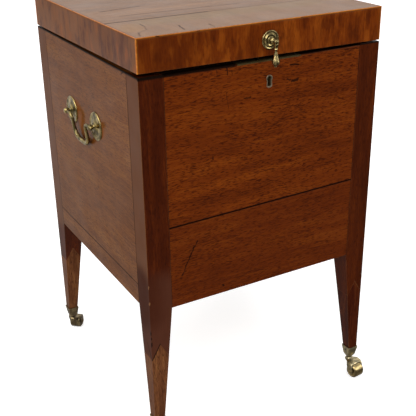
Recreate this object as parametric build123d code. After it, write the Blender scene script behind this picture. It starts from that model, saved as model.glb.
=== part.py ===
from build123d import *
import math
import os

# Antique cellarette: a square mahogany bottle box on tapered legs with brass castors.
# Millimetres. The origin is on the floor under the middle of the case, +Z up, front towards -Y.

# The case
case_width = 432.0
case_depth = 432.0
case_height = 382.0
board_thickness = 18.0
stile_width = 40.0
tongue_length = 8.0
tongue_thickness = 6.0
groove_clearance = 0.2
front_joint_drop = 238.0
front_joint_slope = 3.3 / 176.0
front_joint_gap = 0.8
front_board_shrink = 2.0
side_joint_rise = 35.6
side_joint_gap = 0.1

# The legs
leg_length = 209.0
foot_width = 18.5
splice_shoulder_rise = 121.0
splice_rise = 26.5

# The castors
wheel_diameter = 27.0
wheel_width = 22.0
wheel_bevel = 2.2
castor_trail = 18.5
horn_plate_gap = 1.7
horn_plate_thickness = 4.3
horn_boss_height = 3.5
horn_boss_radius = 8.0
horn_boss_top_radius = 4.1
horn_wall = 2.2
horn_side_gap = 0.4
horn_nose = 7.0
horn_eye_radius = 5.5
axle_radius = 2.0
axle_end_height = 1.3
swivel_pin_radius = 2.5
swivel_gap = 0.3
swivel_head_radius = 4.0
swivel_head_height = 1.8
cup_neck_width = 7.6
cup_shoulder_height = 6.6
cup_shoulder_wall = 0.5
cup_height = 16.6
cup_rim_wall = 1.65
cup_socket_depth = 14.1
cup_socket_taper = 3.5
running_clearance = 0.08

# The lid
lid_height = 53.7
lid_gap = 2.4
lid_warp = 3.6
rim_thickness = 18.0
lid_board_thickness = 14.0
veneer_thickness = 1.2
stringing_width = 2.6
front_veneer_width = 112.4

# The inside
bottom_thickness = 12.0
ledger_size = 18.0
ledger_rise = 2.0
lining_thickness = 2.0
lining_clearance = 0.2
lip_width = 4.0
lip_clearance = 0.3
divider_thickness = 6.0
divider_height = 160.0
divider_pitch = 116.0

# The hinges
hinge_spread = 240.0
hinge_length = 50.0
hinge_leaf_depth = 13.0
hinge_leaf_thickness = 1.6
hinge_knuckle_radius = 3.0
hinge_back_gap = 0.3
hinge_knuckles = 3
hinge_knuckle_gap = 0.2
hinge_pin_radius = 1.3

# The lock, with its keyhole, and the pull
lock_offset = 3.6
selvedge_length = 114.0
selvedge_width = 13.0
selvedge_thickness = 2.0
selvedge_front_margin = 0.3
lock_width = 66.0
lock_height = 44.0
lock_depth = 13.5
lock_wall = 1.4
lock_plate_thickness = 2.0
lock_fit = 0.15
keyhole_drop = 29.6
keyhole_radius = 3.9
keyhole_slot_width = 5.6
keyhole_flare_width = 6.6
keyhole_slot_drop = 12.6
escutcheon_wall = 1.8
escutcheon_back_gap = 0.9
drill_pin_radius = 1.2
drill_pin_setback = 2.2
link_length = 60.0
link_width = 11.6
link_thickness = 2.0
link_spread = 34.0
staple_forward = 0.75
staple_width = 6.4
staple_thickness = 3.0
staple_drop = 14.0
staple_eye_width = 4.0
staple_eye_height = 5.0
staple_eye_margin = 1.5
staple_side_gap = 0.8
bolt_thickness = 3.0
bolt_height = 8.0
bolt_length = 46.0
bolt_prong = 3.4
bolt_travel = 6.0
bolt_tip_gap = 0.6
bolt_staple_gap = 1.0
bolt_stud_width = 3.0
bolt_stud_clearance = 0.2
pull_drop_below_lid_top = 28.4
pull_rose_radius = 14.75
pull_rose_height = 2.8
pull_bead_radius = 4.4
pull_clench_radius = 3.4
pull_clench_height = 1.4
pull_pivot_reach = 15.5
pull_tongue_thickness = 3.0
pull_tongue_radius = 2.7
pull_ear_thickness = 1.7
pull_ear_gap = 0.2
pull_pin_radius = 1.0
pull_drop_length = 38.2
pull_drop_collar = 11.2
pull_pear_radius = 6.1
pull_tip_radius = 2.1
pull_shank_radius = 1.6

# The side handles
handle_drop = 174.5
handle_offset = 11.5
handle_spread = 108.0
handle_rose_radius = 24.0
handle_rose_height = 4.4
handle_pivot_reach = 11.0
handle_eye_radius = 4.8
handle_bore_margin = 0.2
handle_shank_radius = 2.2
handle_shank_overhang = 1.5
handle_nut_width = 9.0
handle_nut_thickness = 3.6
handle_pocket_width = 15.0
handle_pocket_depth = 6.5
bail_end_radius = 2.4
bail_leg_radius = 3.2
bail_grip_radius = 4.2
bail_end_overhang = 6.5
bail_neck_inset = 24.0
bail_neck_bend = 10.0
bail_grip_bend = 18.0
bail_bend_steps = 3
bail_depth = 40.0
bail_lean = 8.0

# Heights worked out from the floor up
plate_low = wheel_diameter + horn_plate_gap
plate_high = plate_low + horn_plate_thickness
boss_top = plate_high + horn_boss_height
neck_bottom = boss_top + swivel_gap
cup_shoulder_top = neck_bottom + cup_shoulder_height
cup_rim = cup_shoulder_top + cup_height
cup_floor = cup_rim - cup_socket_depth
case_bottom = cup_rim + leg_length
case_top = case_bottom + case_height
front_top = case_top - front_board_shrink
splice_shoulder = cup_rim + splice_shoulder_rise
splice_apex = splice_shoulder + splice_rise
front_joint = case_top - front_joint_drop
side_joint = case_bottom + side_joint_rise
lid_bottom = case_top + lid_gap
lid_top = lid_bottom + lid_height
lid_board_top = lid_top - veneer_thickness
lid_board_bottom = lid_board_top - lid_board_thickness
stringing_bottom = lid_top - stringing_width
ledger_bottom = case_bottom + ledger_rise
bottom_low = ledger_bottom + ledger_size
bottom_high = bottom_low + bottom_thickness
lining_bottom = bottom_high + lining_clearance
divider_bottom = lining_bottom + lining_thickness + lining_clearance
keyhole_height = front_top - keyhole_drop
pull_height = lid_top - pull_drop_below_lid_top
handle_height = lid_top - handle_drop

# Plan positions
half_width = case_width / 2
half_depth = case_depth / 2
inner_half_width = half_width - board_thickness
inner_half_depth = half_depth - board_thickness
foot_x = half_width - foot_width / 2
foot_y = half_depth - foot_width / 2
hinge_y = half_depth + hinge_knuckle_radius + hinge_back_gap
hinge_z = case_top + lid_gap / 2
lip_height = lid_gap - lip_clearance

# Widths of the castors' cups, from the foot that each holds
cup_rim_width = foot_width + groove_clearance + 2 * cup_rim_wall
cup_socket_end_width = foot_width - cup_socket_taper
cup_shoulder_width = cup_socket_end_width + 2 * cup_shoulder_wall

# Corners: name, sign in X, sign in Y, and the direction in which the castor trails, in degrees
corners = [
    ("front_left", -1, -1, 0.0),
    ("front_right", 1, -1, -84.0),
    ("back_left", -1, 1, 48.6),
    ("back_right", 1, 1, 90.0),
]


def box_between(low, high):
    """A box given by its lowest and highest corners."""
    size = [b - a for a, b in zip(low, high)]
    middle = [(a + b) / 2 for a, b in zip(low, high)]
    return Pos(*middle) * Box(*size)


def outline(start, *steps):
    """A closed face: a step is an end point for a line, or a (via, end) pair for an arc."""
    here = start
    edges = []
    for step in steps:
        if isinstance(step[0], tuple):
            via, end = step
            edges.append(ThreePointArc(here, via, end))
        else:
            end = step
            edges.append(Line(here, end))
        here = end
    edges.append(Line(here, start))
    return make_face(edges)


def prism(face, axis, low, high):
    """A face drawn in the plane square to an axis, drawn out along that axis."""
    planes = {"x": Plane.YZ, "y": Plane.XZ, "z": Plane.XY}
    directions = {"x": Vector(1, 0, 0), "y": Vector(0, 1, 0), "z": Vector(0, 0, 1)}
    direction = directions[axis]
    solid = extrude(planes[axis] * face, amount=high - low, dir=direction)
    return Pos(*(direction * low)) * solid


def turned(face):
    """A face of radius and height turned about the Z axis."""
    return revolve(Plane.XZ * face, Axis.Z)


def rod(radius, low, high):
    """A round rod on the Z axis."""
    return Pos(0, 0, (low + high) / 2) * Cylinder(radius, high - low)


def rod_along_x(radius, low, high):
    """A round rod on the X axis."""
    return Rot(0, 90, 0) * rod(radius, low, high)


def four_sided(points):
    """The same outline of offset and height seen from the front and from the side."""
    face = outline(*points)
    reach = max(abs(p[0]) for p in points) + 1
    return prism(face, "y", -reach, reach) & prism(face, "x", -reach, reach)


def facing(x, y, z, outward):
    """A place whose +Z points outward, level, towards the front, back, left or right."""
    normals = {"front": (0, -1, 0), "back": (0, 1, 0), "left": (-1, 0, 0), "right": (1, 0, 0),
               "up": (0, 0, 1), "down": (0, 0, -1)}
    across = {"front": (1, 0, 0), "back": (-1, 0, 0), "left": (0, -1, 0), "right": (0, 1, 0),
              "up": (1, 0, 0), "down": (1, 0, 0)}
    return Plane(origin=(x, y, z), x_dir=across[outward], z_dir=normals[outward]).location


def at_corner(solid, sign_x, sign_y):
    """A solid of the back right corner, mirrored to another corner."""
    if sign_x < 0:
        solid = mirror(solid, about=Plane.YZ)
    if sign_y < 0:
        solid = mirror(solid, about=Plane.XZ)
    return solid


# Legs

def leg_outline(half):
    """Outline of the whole back right leg, seen along a horizontal axis, inside a half size."""
    foot_centre = half - foot_width / 2
    foot_end = cup_socket_end_width / 2 - groove_clearance / 2
    return outline((half, case_top), (half - stile_width, case_top), (half - stile_width, case_bottom),
                   (half - foot_width, cup_rim), (foot_centre - foot_end, cup_floor + groove_clearance),
                   (foot_centre + foot_end, cup_floor + groove_clearance), (half, cup_rim))


def leg_width_at(height):
    """Width of the tapered leg at a height between the cup's rim and the case's bottom."""
    share = (height - cup_rim) / (case_bottom - cup_rim)
    return foot_width + (stile_width - foot_width) * share


def below_splice():
    """Everything below the V shaped scarf of the back right leg."""
    shoulder_width = leg_width_at(splice_shoulder)
    apex_x = half_width - shoulder_width / 2
    run = shoulder_width / 2 + 10
    fall = run * splice_rise / (shoulder_width / 2)
    face = outline((apex_x, splice_apex), (apex_x + run, splice_apex - fall), (apex_x + run, 0),
                   (apex_x - run, 0), (apex_x - run, splice_apex - fall))
    return prism(face, "y", half_depth - stile_width - 10, half_depth + 10)


def whole_leg():
    """The back right leg before it is parted at the scarf, with the grooves for the boards."""
    leg = prism(leg_outline(half_width), "y", 0, half_depth + 1)
    leg = leg & prism(leg_outline(half_depth), "x", 0, half_width + 1)
    half_groove = tongue_thickness / 2
    side_x = half_width - board_thickness / 2
    back_y = half_depth - board_thickness / 2
    inner_x = half_width - stile_width
    inner_y = half_depth - stile_width
    leg -= box_between((side_x - half_groove, inner_y - 1, case_bottom),
                       (side_x + half_groove, inner_y + tongue_length, case_top + 1))
    leg -= box_between((inner_x - 1, back_y - half_groove, case_bottom),
                       (inner_x + tongue_length, back_y + half_groove, case_top + 1))
    return leg


def upper_leg():
    """Stile and upper part of the back right leg, down to the scarf."""
    return whole_leg() - below_splice()


def leg_tip():
    """Spliced lower end of the back right leg, down into the castor's cup."""
    return whole_leg() & below_splice()


# Boards of the case, each drawn as the front board and then turned to its side

side_turns = {"front": 0, "right": 90, "back": 180, "left": -90}


def turn_to(side, solid):
    """A piece drawn at the front, turned to another side of the case."""
    return Rot(0, 0, side_turns[side]) * solid


def side_sizes(side):
    """Half the length between the stiles, and the distance of the outer face from the middle."""
    if side in ("front", "back"):
        return half_width - stile_width, half_depth
    return half_depth - stile_width, half_width


def case_board(side, low, low_slope, high, high_slope):
    """A board between two stiles, with a tongue at each end; low and high are taken in its middle."""
    half, outer = side_sizes(side)
    reach = half + tongue_length - groove_clearance

    def band(span, front, back):
        corners_of_band = [(-span, low - span * low_slope), (span, low + span * low_slope),
                           (span, high + span * high_slope), (-span, high - span * high_slope)]
        return prism(outline(*corners_of_band), "y", front, back)

    half_tongue = (tongue_thickness - groove_clearance) / 2
    middle = -outer + board_thickness / 2
    body = band(half, -outer, -outer + board_thickness)
    return body + band(reach, middle - half_tongue, middle + half_tongue)


def handle_places(side):
    """Distances along a side board, drawn as the front, of the two handle posts."""
    centre = -handle_offset if side == "left" else handle_offset
    return centre - handle_spread / 2, centre + handle_spread / 2


def side_upper_board(side):
    """Upper board of the left or right side, bored for the handle's posts and cut out for their nuts."""
    board = case_board(side, side_joint + side_joint_gap / 2, 0, case_top, 0)
    outer = side_sizes(side)[1]
    half = handle_pocket_width / 2
    pocket_end = handle_pocket_depth - board_thickness
    for x in handle_places(side):
        cut = rod(handle_shank_radius + running_clearance, -board_thickness - 1, 1)
        cut += box_between((-half, -half, -board_thickness - 1), (half, half, pocket_end))
        board -= facing(x, -outer, handle_height, "front") * cut
    return turn_to(side, board)


def side_lower_board(side):
    """Narrow lower board of the left or right side."""
    return turn_to(side, case_board(side, case_bottom, 0, side_joint - side_joint_gap / 2, 0))


def keyhole_face(grow):
    """Outline of the keyhole, grown by a margin; its round centre is at 0, 0."""
    radius = keyhole_radius + grow
    neck = keyhole_slot_width / 2 + grow
    flare = keyhole_flare_width / 2 + grow
    bottom = keyhole_slot_drop + grow
    neck_z = -math.sqrt(radius ** 2 - neck ** 2)
    return outline((neck, neck_z), ((0, radius), (-neck, neck_z)), (-flare, flare * 0.5 - bottom),
                   ((0, -bottom), (flare, flare * 0.5 - bottom)))


def front_upper_board():
    """Front board above the crack, shrunk a little, with the lock's mortise and the keyhole."""
    board = case_board("front", front_joint + front_joint_gap / 2, front_joint_slope, front_top, 0)
    half_lock = lock_width / 2 + lock_fit
    half_selvedge = selvedge_length / 2 + lock_fit
    board -= box_between((lock_offset - half_lock, lock_front - lock_fit, lock_bottom - lock_fit),
                         (lock_offset + half_lock, lock_back + 1, front_top + 1))
    selvedge_back = selvedge_front + selvedge_width
    selvedge_low = front_top - selvedge_thickness
    board -= box_between((lock_offset - half_selvedge, -half_depth - 1, selvedge_low - lock_fit),
                         (lock_offset + half_selvedge, selvedge_back + lock_fit, front_top + 1))
    at_keyhole = Pos(lock_offset, 0, keyhole_height)
    board -= at_keyhole * prism(keyhole_face(0), "y", -half_depth - 1, lock_back)
    thread = prism(keyhole_face(escutcheon_wall), "y", -half_depth - 1, -half_depth + escutcheon_depth)
    return board - at_keyhole * thread


def front_lower_board():
    """Front board below the crack."""
    return case_board("front", case_bottom, 0, front_joint - front_joint_gap / 2, front_joint_slope)


def back_board():
    """Back board, with the two hinge leaves let into its top edge."""
    board = turn_to("back", case_board("back", case_bottom, 0, case_top, 0))
    for x in hinge_places():
        board -= leaf_recess(x, case_top - hinge_leaf_thickness, case_top + 1)
    return board


# Inside of the case

def notched_block(margin, low, high):
    """A block as wide as the inside of the case, notched at the corners round the stiles."""
    half_x = inner_half_width - margin
    half_y = inner_half_depth - margin
    stile_x = half_width - stile_width - margin
    stile_y = half_depth - stile_width - margin
    across = box_between((-half_x, -stile_y, low), (half_x, stile_y, high))
    along = box_between((-stile_x, -half_y, low), (stile_x, half_y, high))
    return across + along


def bottom_board():
    """Bottom board, notched round the four stiles."""
    return notched_block(lining_clearance, bottom_low, bottom_high)


def bottom_ledgers():
    """Four strips on the inner faces of the boards that carry the bottom."""
    strips = []
    for side in side_turns:
        half, outer = side_sizes(side)
        inner = outer - board_thickness
        length = half - groove_clearance
        if side in ("left", "right"):
            length -= ledger_size
        strip = box_between((-length, -inner, ledger_bottom), (length, -inner + ledger_size, bottom_low))
        strips.append(turn_to(side, strip))
    return Compound(children=strips)


def lead_lining():
    """Sheet lead dressed over the inside of the boards and stiles, open at the top."""
    floor = lining_bottom + lining_thickness
    outside = notched_block(lining_clearance, lining_bottom, case_top)
    return outside - notched_block(lining_clearance + lining_thickness, floor, case_top + 1)


def divider_boards(along):
    """Two halved boards; those that run along X are slotted from the top, the others from below."""
    half_x = inner_half_width - lining_thickness - 2 * lining_clearance
    half_y = inner_half_depth - lining_thickness - 2 * lining_clearance
    half = half_x if along == "x" else half_y
    top = divider_bottom + divider_height
    middle = divider_bottom + divider_height / 2
    slot = divider_thickness / 2 + groove_clearance
    low, high = (middle - groove_clearance, top + 1) if along == "x" else (divider_bottom - 1, middle)
    boards = []
    for centre in (-divider_pitch / 2, divider_pitch / 2):
        board = box_between((-half, centre - divider_thickness / 2, divider_bottom),
                            (half, centre + divider_thickness / 2, top))
        for crossing in (-divider_pitch / 2, divider_pitch / 2):
            board -= box_between((crossing - slot, centre - divider_thickness, low),
                                 (crossing + slot, centre + divider_thickness, high))
        boards.append(board if along == "x" else Rot(0, 0, 90) * board)
    return Compound(children=boards)


def top_lip():
    """Four mitred strips on the top edges of the case; the front one reaches down to its shrunk board."""
    strips = []
    for side in side_turns:
        half, outer = side_sizes(side)
        inner = outer - board_thickness
        end = half + stile_width - board_thickness
        face = outline((-end, -inner), (-end - lip_width, -inner - lip_width),
                       (end + lip_width, -inner - lip_width), (end, -inner))
        strip = prism(face, "z", case_top, case_top + lip_height)
        if side == "front":
            strip += box_between((-half, -inner - lip_width, front_top), (half, -inner, case_top + lip_height))
        strips.append(turn_to(side, strip))
    return Compound(children=strips)


# Hinges

def hinge_places():
    """Middles of the two hinges along X."""
    return -hinge_spread / 2, hinge_spread / 2


def leaf_recess(x, low, high):
    """Recess for a hinge leaf in the back edge of the case or of the lid."""
    return box_between((x - hinge_length / 2 - groove_clearance, half_depth - hinge_leaf_depth, low),
                       (x + hinge_length / 2 + groove_clearance, half_depth + 1, high))


def knuckle_spans(x, own):
    """Spans along X of the knuckles of one leaf: the even ones on the case, the odd ones on the lid."""
    pitch = hinge_length / hinge_knuckles
    start = x - hinge_length / 2
    half_gap = hinge_knuckle_gap / 2
    numbers = range(own, hinge_knuckles, 2)
    return [(start + n * pitch + half_gap, start + (n + 1) * pitch - half_gap) for n in numbers]


def hinge_leaves(own):
    """Both leaves on the case (own = 0) or on the lid (own = 1), with their knuckles."""
    low = case_top - hinge_leaf_thickness if own == 0 else lid_bottom
    high = low + hinge_leaf_thickness
    leaves = []
    for x in hinge_places():
        leaf = box_between((x - hinge_length / 2, half_depth - hinge_leaf_depth, low),
                           (x + hinge_length / 2, half_depth, high))
        for start, end in knuckle_spans(x, own):
            leaf += box_between((start, half_depth - 1, low), (end, hinge_y, high))
            leaf += Pos(0, hinge_y, hinge_z) * rod_along_x(hinge_knuckle_radius, start, end)
        leaf -= Pos(0, hinge_y, hinge_z) * rod_along_x(hinge_pin_radius + running_clearance,
                                                        x - hinge_length, x + hinge_length)
        leaves.append(leaf)
    return Compound(children=leaves)


def hinge_pins():
    """One pin through all knuckles of each hinge."""
    pins = []
    for x in hinge_places():
        pin = rod_along_x(hinge_pin_radius, x - hinge_length / 2, x + hinge_length / 2)
        pins.append(Pos(0, hinge_y, hinge_z) * pin)
    return Compound(children=pins)


# Lock

def staple_places():
    """Middles along X of the two staples of the link plate."""
    return lock_offset - link_spread / 2, lock_offset + link_spread / 2


lock_front = -half_depth + board_thickness - lock_depth
lock_back = -inner_half_depth
plate_front = lock_back - lock_plate_thickness
lock_bottom = front_top - lock_height
escutcheon_depth = board_thickness - lock_depth - escutcheon_back_gap
selvedge_front = -half_depth + selvedge_front_margin
staple_y = (lock_front + lock_wall + plate_front) / 2 - staple_forward
staple_bottom = lid_bottom - staple_drop
eye_middle = staple_bottom + staple_eye_margin + staple_eye_height / 2
bolt_top = staple_bottom - bolt_staple_gap
bolt_bottom = bolt_top - bolt_height
bolt_middle = bolt_bottom + bolt_height / 2
link_low = lid_bottom + lid_warp / 2
link_high = link_low + link_thickness


def bolt_stud_places():
    """Middles along X of the two studs that guide the bolt, in its thrown and drawn positions."""
    return lock_offset - bolt_length / 4, lock_offset + bolt_length / 4


def lock_case():
    """Selvedge, inner plate, box with the keyhole, drill pin and the two studs of the bolt."""
    left = lock_offset - lock_width / 2
    right = lock_offset + lock_width / 2
    half_selvedge = selvedge_length / 2
    selvedge_low = front_top - selvedge_thickness
    body = box_between((lock_offset - half_selvedge, selvedge_front, selvedge_low),
                       (lock_offset + half_selvedge, selvedge_front + selvedge_width, front_top))
    body += box_between((left, lock_front, lock_bottom), (right, lock_back, front_top))
    body -= box_between((left + lock_wall, lock_front + lock_wall, lock_bottom + lock_wall),
                        (right - lock_wall, plate_front, selvedge_low))
    half_slot_x = staple_thickness / 2 + staple_side_gap
    half_slot_y = staple_width / 2 + staple_side_gap
    for x in staple_places():
        body -= box_between((x - half_slot_x, staple_y - half_slot_y, selvedge_low - 1),
                            (x + half_slot_x, staple_y + half_slot_y, front_top + 1))
    keyhole = prism(keyhole_face(0), "y", lock_front - 1, lock_front + lock_wall + 1)
    body -= Pos(lock_offset, 0, keyhole_height) * keyhole
    pin = rod(drill_pin_radius, -1, half_depth - drill_pin_setback + plate_front)
    body += facing(lock_offset, plate_front, keyhole_height, "front") * pin
    half = bolt_stud_width / 2
    for x in bolt_stud_places():
        body += box_between((x - half, lock_front + lock_wall / 2, bolt_middle - half),
                            (x + half, plate_front + 1, bolt_middle + half))
    return body


def lock_bolt():
    """Bolt in its drawn position: a slotted bar whose two prongs slide into the staples' eyes."""
    front = staple_y - bolt_thickness / 2
    back = staple_y + bolt_thickness / 2
    start = lock_offset - (bolt_length + bolt_travel) / 2
    prong_low = eye_middle - bolt_prong / 2
    prong_high = eye_middle + bolt_prong / 2
    bolt = box_between((start, front, bolt_bottom), (start + bolt_length, back, bolt_top))
    for x in staple_places():
        tip = x - staple_thickness / 2 - bolt_tip_gap
        root = tip - bolt_travel
        bolt += box_between((root - bolt_prong, front, bolt_top - 1), (root, back, prong_high))
        bolt += box_between((root - 1, front, prong_low), (tip, back, prong_high))
    half = bolt_stud_width / 2 + bolt_stud_clearance
    for x in bolt_stud_places():
        bolt -= box_between((x - bolt_travel - half, front - 1, bolt_middle - half),
                            (x + half, back + 1, bolt_middle + half))
    return bolt


def keyhole_escutcheon():
    """Brass thread let in flush round the keyhole."""
    ring = prism(keyhole_face(escutcheon_wall - lock_fit), "y", -half_depth, -half_depth + escutcheon_depth)
    ring -= prism(keyhole_face(0), "y", -half_depth - 1, -half_depth + escutcheon_depth + 1)
    return Pos(lock_offset, 0, keyhole_height) * ring


def lock_link_plate():
    """Plate in the lid's front rim with two staples that hang into the lock."""
    plate = box_between((lock_offset - link_length / 2, staple_y - link_width / 2, link_low),
                        (lock_offset + link_length / 2, staple_y + link_width / 2, link_high))
    for x in staple_places():
        staple = box_between((x - staple_thickness / 2, staple_y - staple_width / 2, staple_bottom),
                             (x + staple_thickness / 2, staple_y + staple_width / 2, link_high))
        eye = Pos(x, staple_y, eye_middle) * Box(staple_thickness + 2, staple_eye_width, staple_eye_height)
        plate += staple - eye
    return plate


# Lid

def rim_bottom(side, x):
    """Height of a rim's lower edge at a distance along it, drawn as the front rim."""
    half = side_sizes(side)[0] + stile_width
    if side == "front":
        return lid_bottom + lid_warp * (half - x) / (2 * half)
    if side == "left":
        return lid_bottom + lid_warp * (half + x) / (2 * half)
    return lid_bottom


def rim_slab(side, depth_out, depth_in, top):
    """A mitred slab of one side of the lid, between two depths behind the outer face."""
    half, outer = side_sizes(side)
    half = half + stile_width
    face = outline((-half, rim_bottom(side, -half)), (half, rim_bottom(side, half)), (half, top),
                   (-half, top))
    slab = prism(face, "y", -outer + depth_out, -outer + depth_in)
    plan = outline((-half + depth_out, -outer + depth_out), (half - depth_out, -outer + depth_out),
                   (half - depth_in, -outer + depth_in), (-half + depth_in, -outer + depth_in))
    return slab & prism(plan, "z", lid_bottom - 1, top + 1)


def corner_posts(low, high):
    """The square stretches taken up by the boxwood at the four upright corners of the lid."""
    posts = []
    for sign_x in (-1, 1):
        for sign_y in (-1, 1):
            x = sign_x * (half_width - stringing_width / 2)
            y = sign_y * (half_depth - stringing_width / 2)
            posts.append(Pos(x, y, (low + high) / 2) * Box(stringing_width, stringing_width, high - low))
    return posts


def lid_rim(side):
    """One rim board of the lid, behind its veneer."""
    rim = turn_to(side, rim_slab(side, veneer_thickness, rim_thickness, lid_board_bottom))
    for post in corner_posts(lid_bottom - 1, lid_top + 1):
        rim -= post
    if side == "back":
        for x in hinge_places():
            rim -= leaf_recess(x, lid_bottom - 1, lid_bottom + hinge_leaf_thickness)
    if side == "front":
        half_length = link_length / 2 + lock_fit
        half_link = link_width / 2 + lock_fit
        rim -= box_between((lock_offset - half_length, staple_y - half_link, lid_bottom - 1),
                           (lock_offset + half_length, staple_y + half_link, link_high))
        rim -= at_pull(rod(pull_shank_radius + running_clearance, -rim_thickness - 1, 1))
    return rim


def lid_rim_veneers():
    """Cross-grained veneers on the outer faces of the lid, up to the boxwood stringing."""
    sheets = []
    for side in side_turns:
        sheet = turn_to(side, rim_slab(side, 0, veneer_thickness, stringing_bottom))
        for post in corner_posts(lid_bottom - 1, lid_top + 1):
            sheet -= post
        if side == "front":
            sheet -= at_pull(rod(pull_shank_radius + running_clearance, -rim_thickness, 1))
        if side == "back":
            for x in hinge_places():
                sheet -= leaf_recess(x, lid_bottom - 1, lid_bottom + hinge_leaf_thickness)
        sheets.append(sheet)
    return Compound(children=sheets)


def lid_top_board():
    """Top board of the lid, rebated at its edges for the stringing."""
    half_x = half_width - veneer_thickness
    half_y = half_depth - veneer_thickness
    board = box_between((-half_x, -half_y, lid_board_bottom), (half_x, half_y, lid_board_top))
    inner_x = half_width - stringing_width
    inner_y = half_depth - stringing_width
    rebate = box_between((-half_width, -half_depth, stringing_bottom), (half_width, half_depth, lid_top))
    rebate -= box_between((-inner_x, -inner_y, stringing_bottom), (inner_x, inner_y, lid_top))
    board -= rebate
    for post in corner_posts(lid_board_bottom - 1, lid_top):
        board -= post
    return board


def lid_stringing():
    """Boxwood lines: four mitred ones on the top edges and four upright ones at the corners."""
    lines = []
    for side in side_turns:
        half, outer = side_sizes(side)
        half = half + stile_width
        inner = outer - stringing_width
        short = half - stringing_width
        plan = outline((-half, -outer), (half, -outer), (short, -inner), (-short, -inner))
        lines.append(turn_to(side, prism(plan, "z", stringing_bottom, lid_top)))
    raised = {(-1, -1): lid_bottom + lid_warp}
    half = stringing_width / 2
    for sign_x in (-1, 1):
        for sign_y in (-1, 1):
            low = raised.get((sign_x, sign_y), lid_bottom)
            x = sign_x * (half_width - half)
            y = sign_y * (half_depth - half)
            lines.append(box_between((x - half, y - half, low), (x + half, y + half, stringing_bottom)))
    return Compound(children=lines)


def lid_front_veneer():
    """Sheet of veneer along the front of the top, its grain from front to back."""
    front = -half_depth + stringing_width
    half = half_width - stringing_width
    return box_between((-half, front, lid_board_top), (half, front + front_veneer_width, lid_top))


def lid_field_veneer():
    """Sheet of veneer over the rest of the top, butted against the front one."""
    front = -half_depth + stringing_width + front_veneer_width
    half = half_width - stringing_width
    return box_between((-half, front, lid_board_top), (half, half_depth - stringing_width, lid_top))


# Drop pull on the lid

def at_pull(piece):
    """A piece drawn upright, set on the front of the lid at the pull."""
    return facing(lock_offset, -half_depth, pull_height, "front") * piece


def pull_rose():
    """Round backplate with two turned rings."""
    edge = pull_rose_radius
    high = pull_rose_height
    hole = pull_shank_radius + running_clearance
    return at_pull(turned(outline((hole, 0), (edge, 0), (edge, high * 0.4), (edge - 4.2, high * 0.4),
                                  (edge - 6.4, high), (edge - 9.4, high * 0.6), (hole, high))))


def pull_post():
    """Post with a bead, a flat tongue bored for the drop, and a shank clenched inside the lid."""
    seat = pull_rose_height
    bead = pull_bead_radius
    waist = pull_tongue_radius * 0.8
    neck = pull_pivot_reach - 1.5 * pull_tongue_radius
    clench = -rim_thickness - pull_clench_height
    post = turned(outline((0, clench), (pull_clench_radius, clench), (pull_clench_radius, -rim_thickness),
                          (pull_shank_radius, -rim_thickness), (pull_shank_radius, seat), (waist, seat),
                          (bead, (seat + neck) / 2), (waist, neck), (0, neck)))
    half = pull_tongue_thickness / 2
    tongue = box_between((-half, -pull_tongue_radius, neck - 1), (half, pull_tongue_radius, pull_pivot_reach))
    tongue += Pos(0, 0, pull_pivot_reach) * rod_along_x(pull_tongue_radius, -half, half)
    bore = rod_along_x(pull_pin_radius + running_clearance, -half - 1, half + 1)
    return at_pull(post + tongue - Pos(0, 0, pull_pivot_reach) * bore)


def pull_drop():
    """Pear drop hanging from two ears on a pin through the tongue."""
    inner = pull_tongue_thickness / 2 + pull_ear_gap
    outer = inner + pull_ear_thickness
    ear = pull_tongue_radius + pull_ear_gap / 2
    yoke_top = -pull_tongue_radius - 4 * pull_ear_gap
    collar = -pull_drop_collar
    belly = (collar - pull_drop_length) * 0.6
    pear = turned(outline((0, collar + 3), (1.6, collar + 3), (2.7, collar), (1.6, collar - 1.4),
                          (3.2, collar - 8), (pull_pear_radius, belly), (4.2, belly - 5.5),
                          (1.3, pull_tip_radius - pull_drop_length), (pull_tip_radius, -pull_drop_length),
                          (0, -pull_drop_length)))
    fork = rod_along_x(ear, -outer, outer) + box_between((-outer, -ear, yoke_top - 1.5), (outer, ear, 0))
    fork -= box_between((-inner, -2 * ear, yoke_top), (inner, 2 * ear, 2 * ear))
    yoke = four_sided([(outer, yoke_top - 1), (-outer, yoke_top - 1), (-1.6, collar + 2), (1.6, collar + 2)])
    drop = fork + yoke + pear + rod_along_x(pull_pin_radius, -outer + 0.5, outer - 0.5)
    return Pos(lock_offset, -half_depth - pull_pivot_reach, pull_height) * drop


# Side handles

def handle_rose():
    """Round rose of a side handle, with a bevelled edge and a raised middle."""
    hole = handle_shank_radius + running_clearance
    edge = handle_rose_radius
    high = handle_rose_height
    profile = [(hole, 0), (edge, 0), (edge, high * 0.3), (edge - 2.4, high * 0.5), (edge - 10, high * 0.5),
               (edge - 15.5, high), (hole, high)]
    return turned(outline(*profile))


def handle_post():
    """Post of a side handle: a head bored for the bail, a stem, and a shank through the board."""
    seat = handle_rose_height
    eye = handle_eye_radius
    flat = bail_end_radius + running_clearance + handle_bore_margin
    stem = eye * 0.75
    pivot = handle_pivot_reach
    inner_end = -board_thickness + handle_pocket_depth - handle_nut_thickness - handle_shank_overhang
    profile = [(0, inner_end), (handle_shank_radius, inner_end), (handle_shank_radius, seat), (stem, seat),
               (stem, pivot - eye + 1), (eye, pivot - flat), (eye, pivot + flat), (flat, pivot + eye),
               (0, pivot + eye)]
    bore = rod_along_x(bail_end_radius + running_clearance, -eye - 1, eye + 1)
    return turned(outline(*profile)) - Pos(0, 0, pivot) * bore


def handle_nut():
    """Square nut sunk in the board's inner face."""
    top = -board_thickness + handle_pocket_depth
    nut = box_between((-handle_nut_width / 2, -handle_nut_width / 2, top - handle_nut_thickness),
                      (handle_nut_width / 2, handle_nut_width / 2, top))
    return nut - rod(handle_shank_radius + running_clearance, top - handle_nut_thickness - 1, top + 1)


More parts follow.
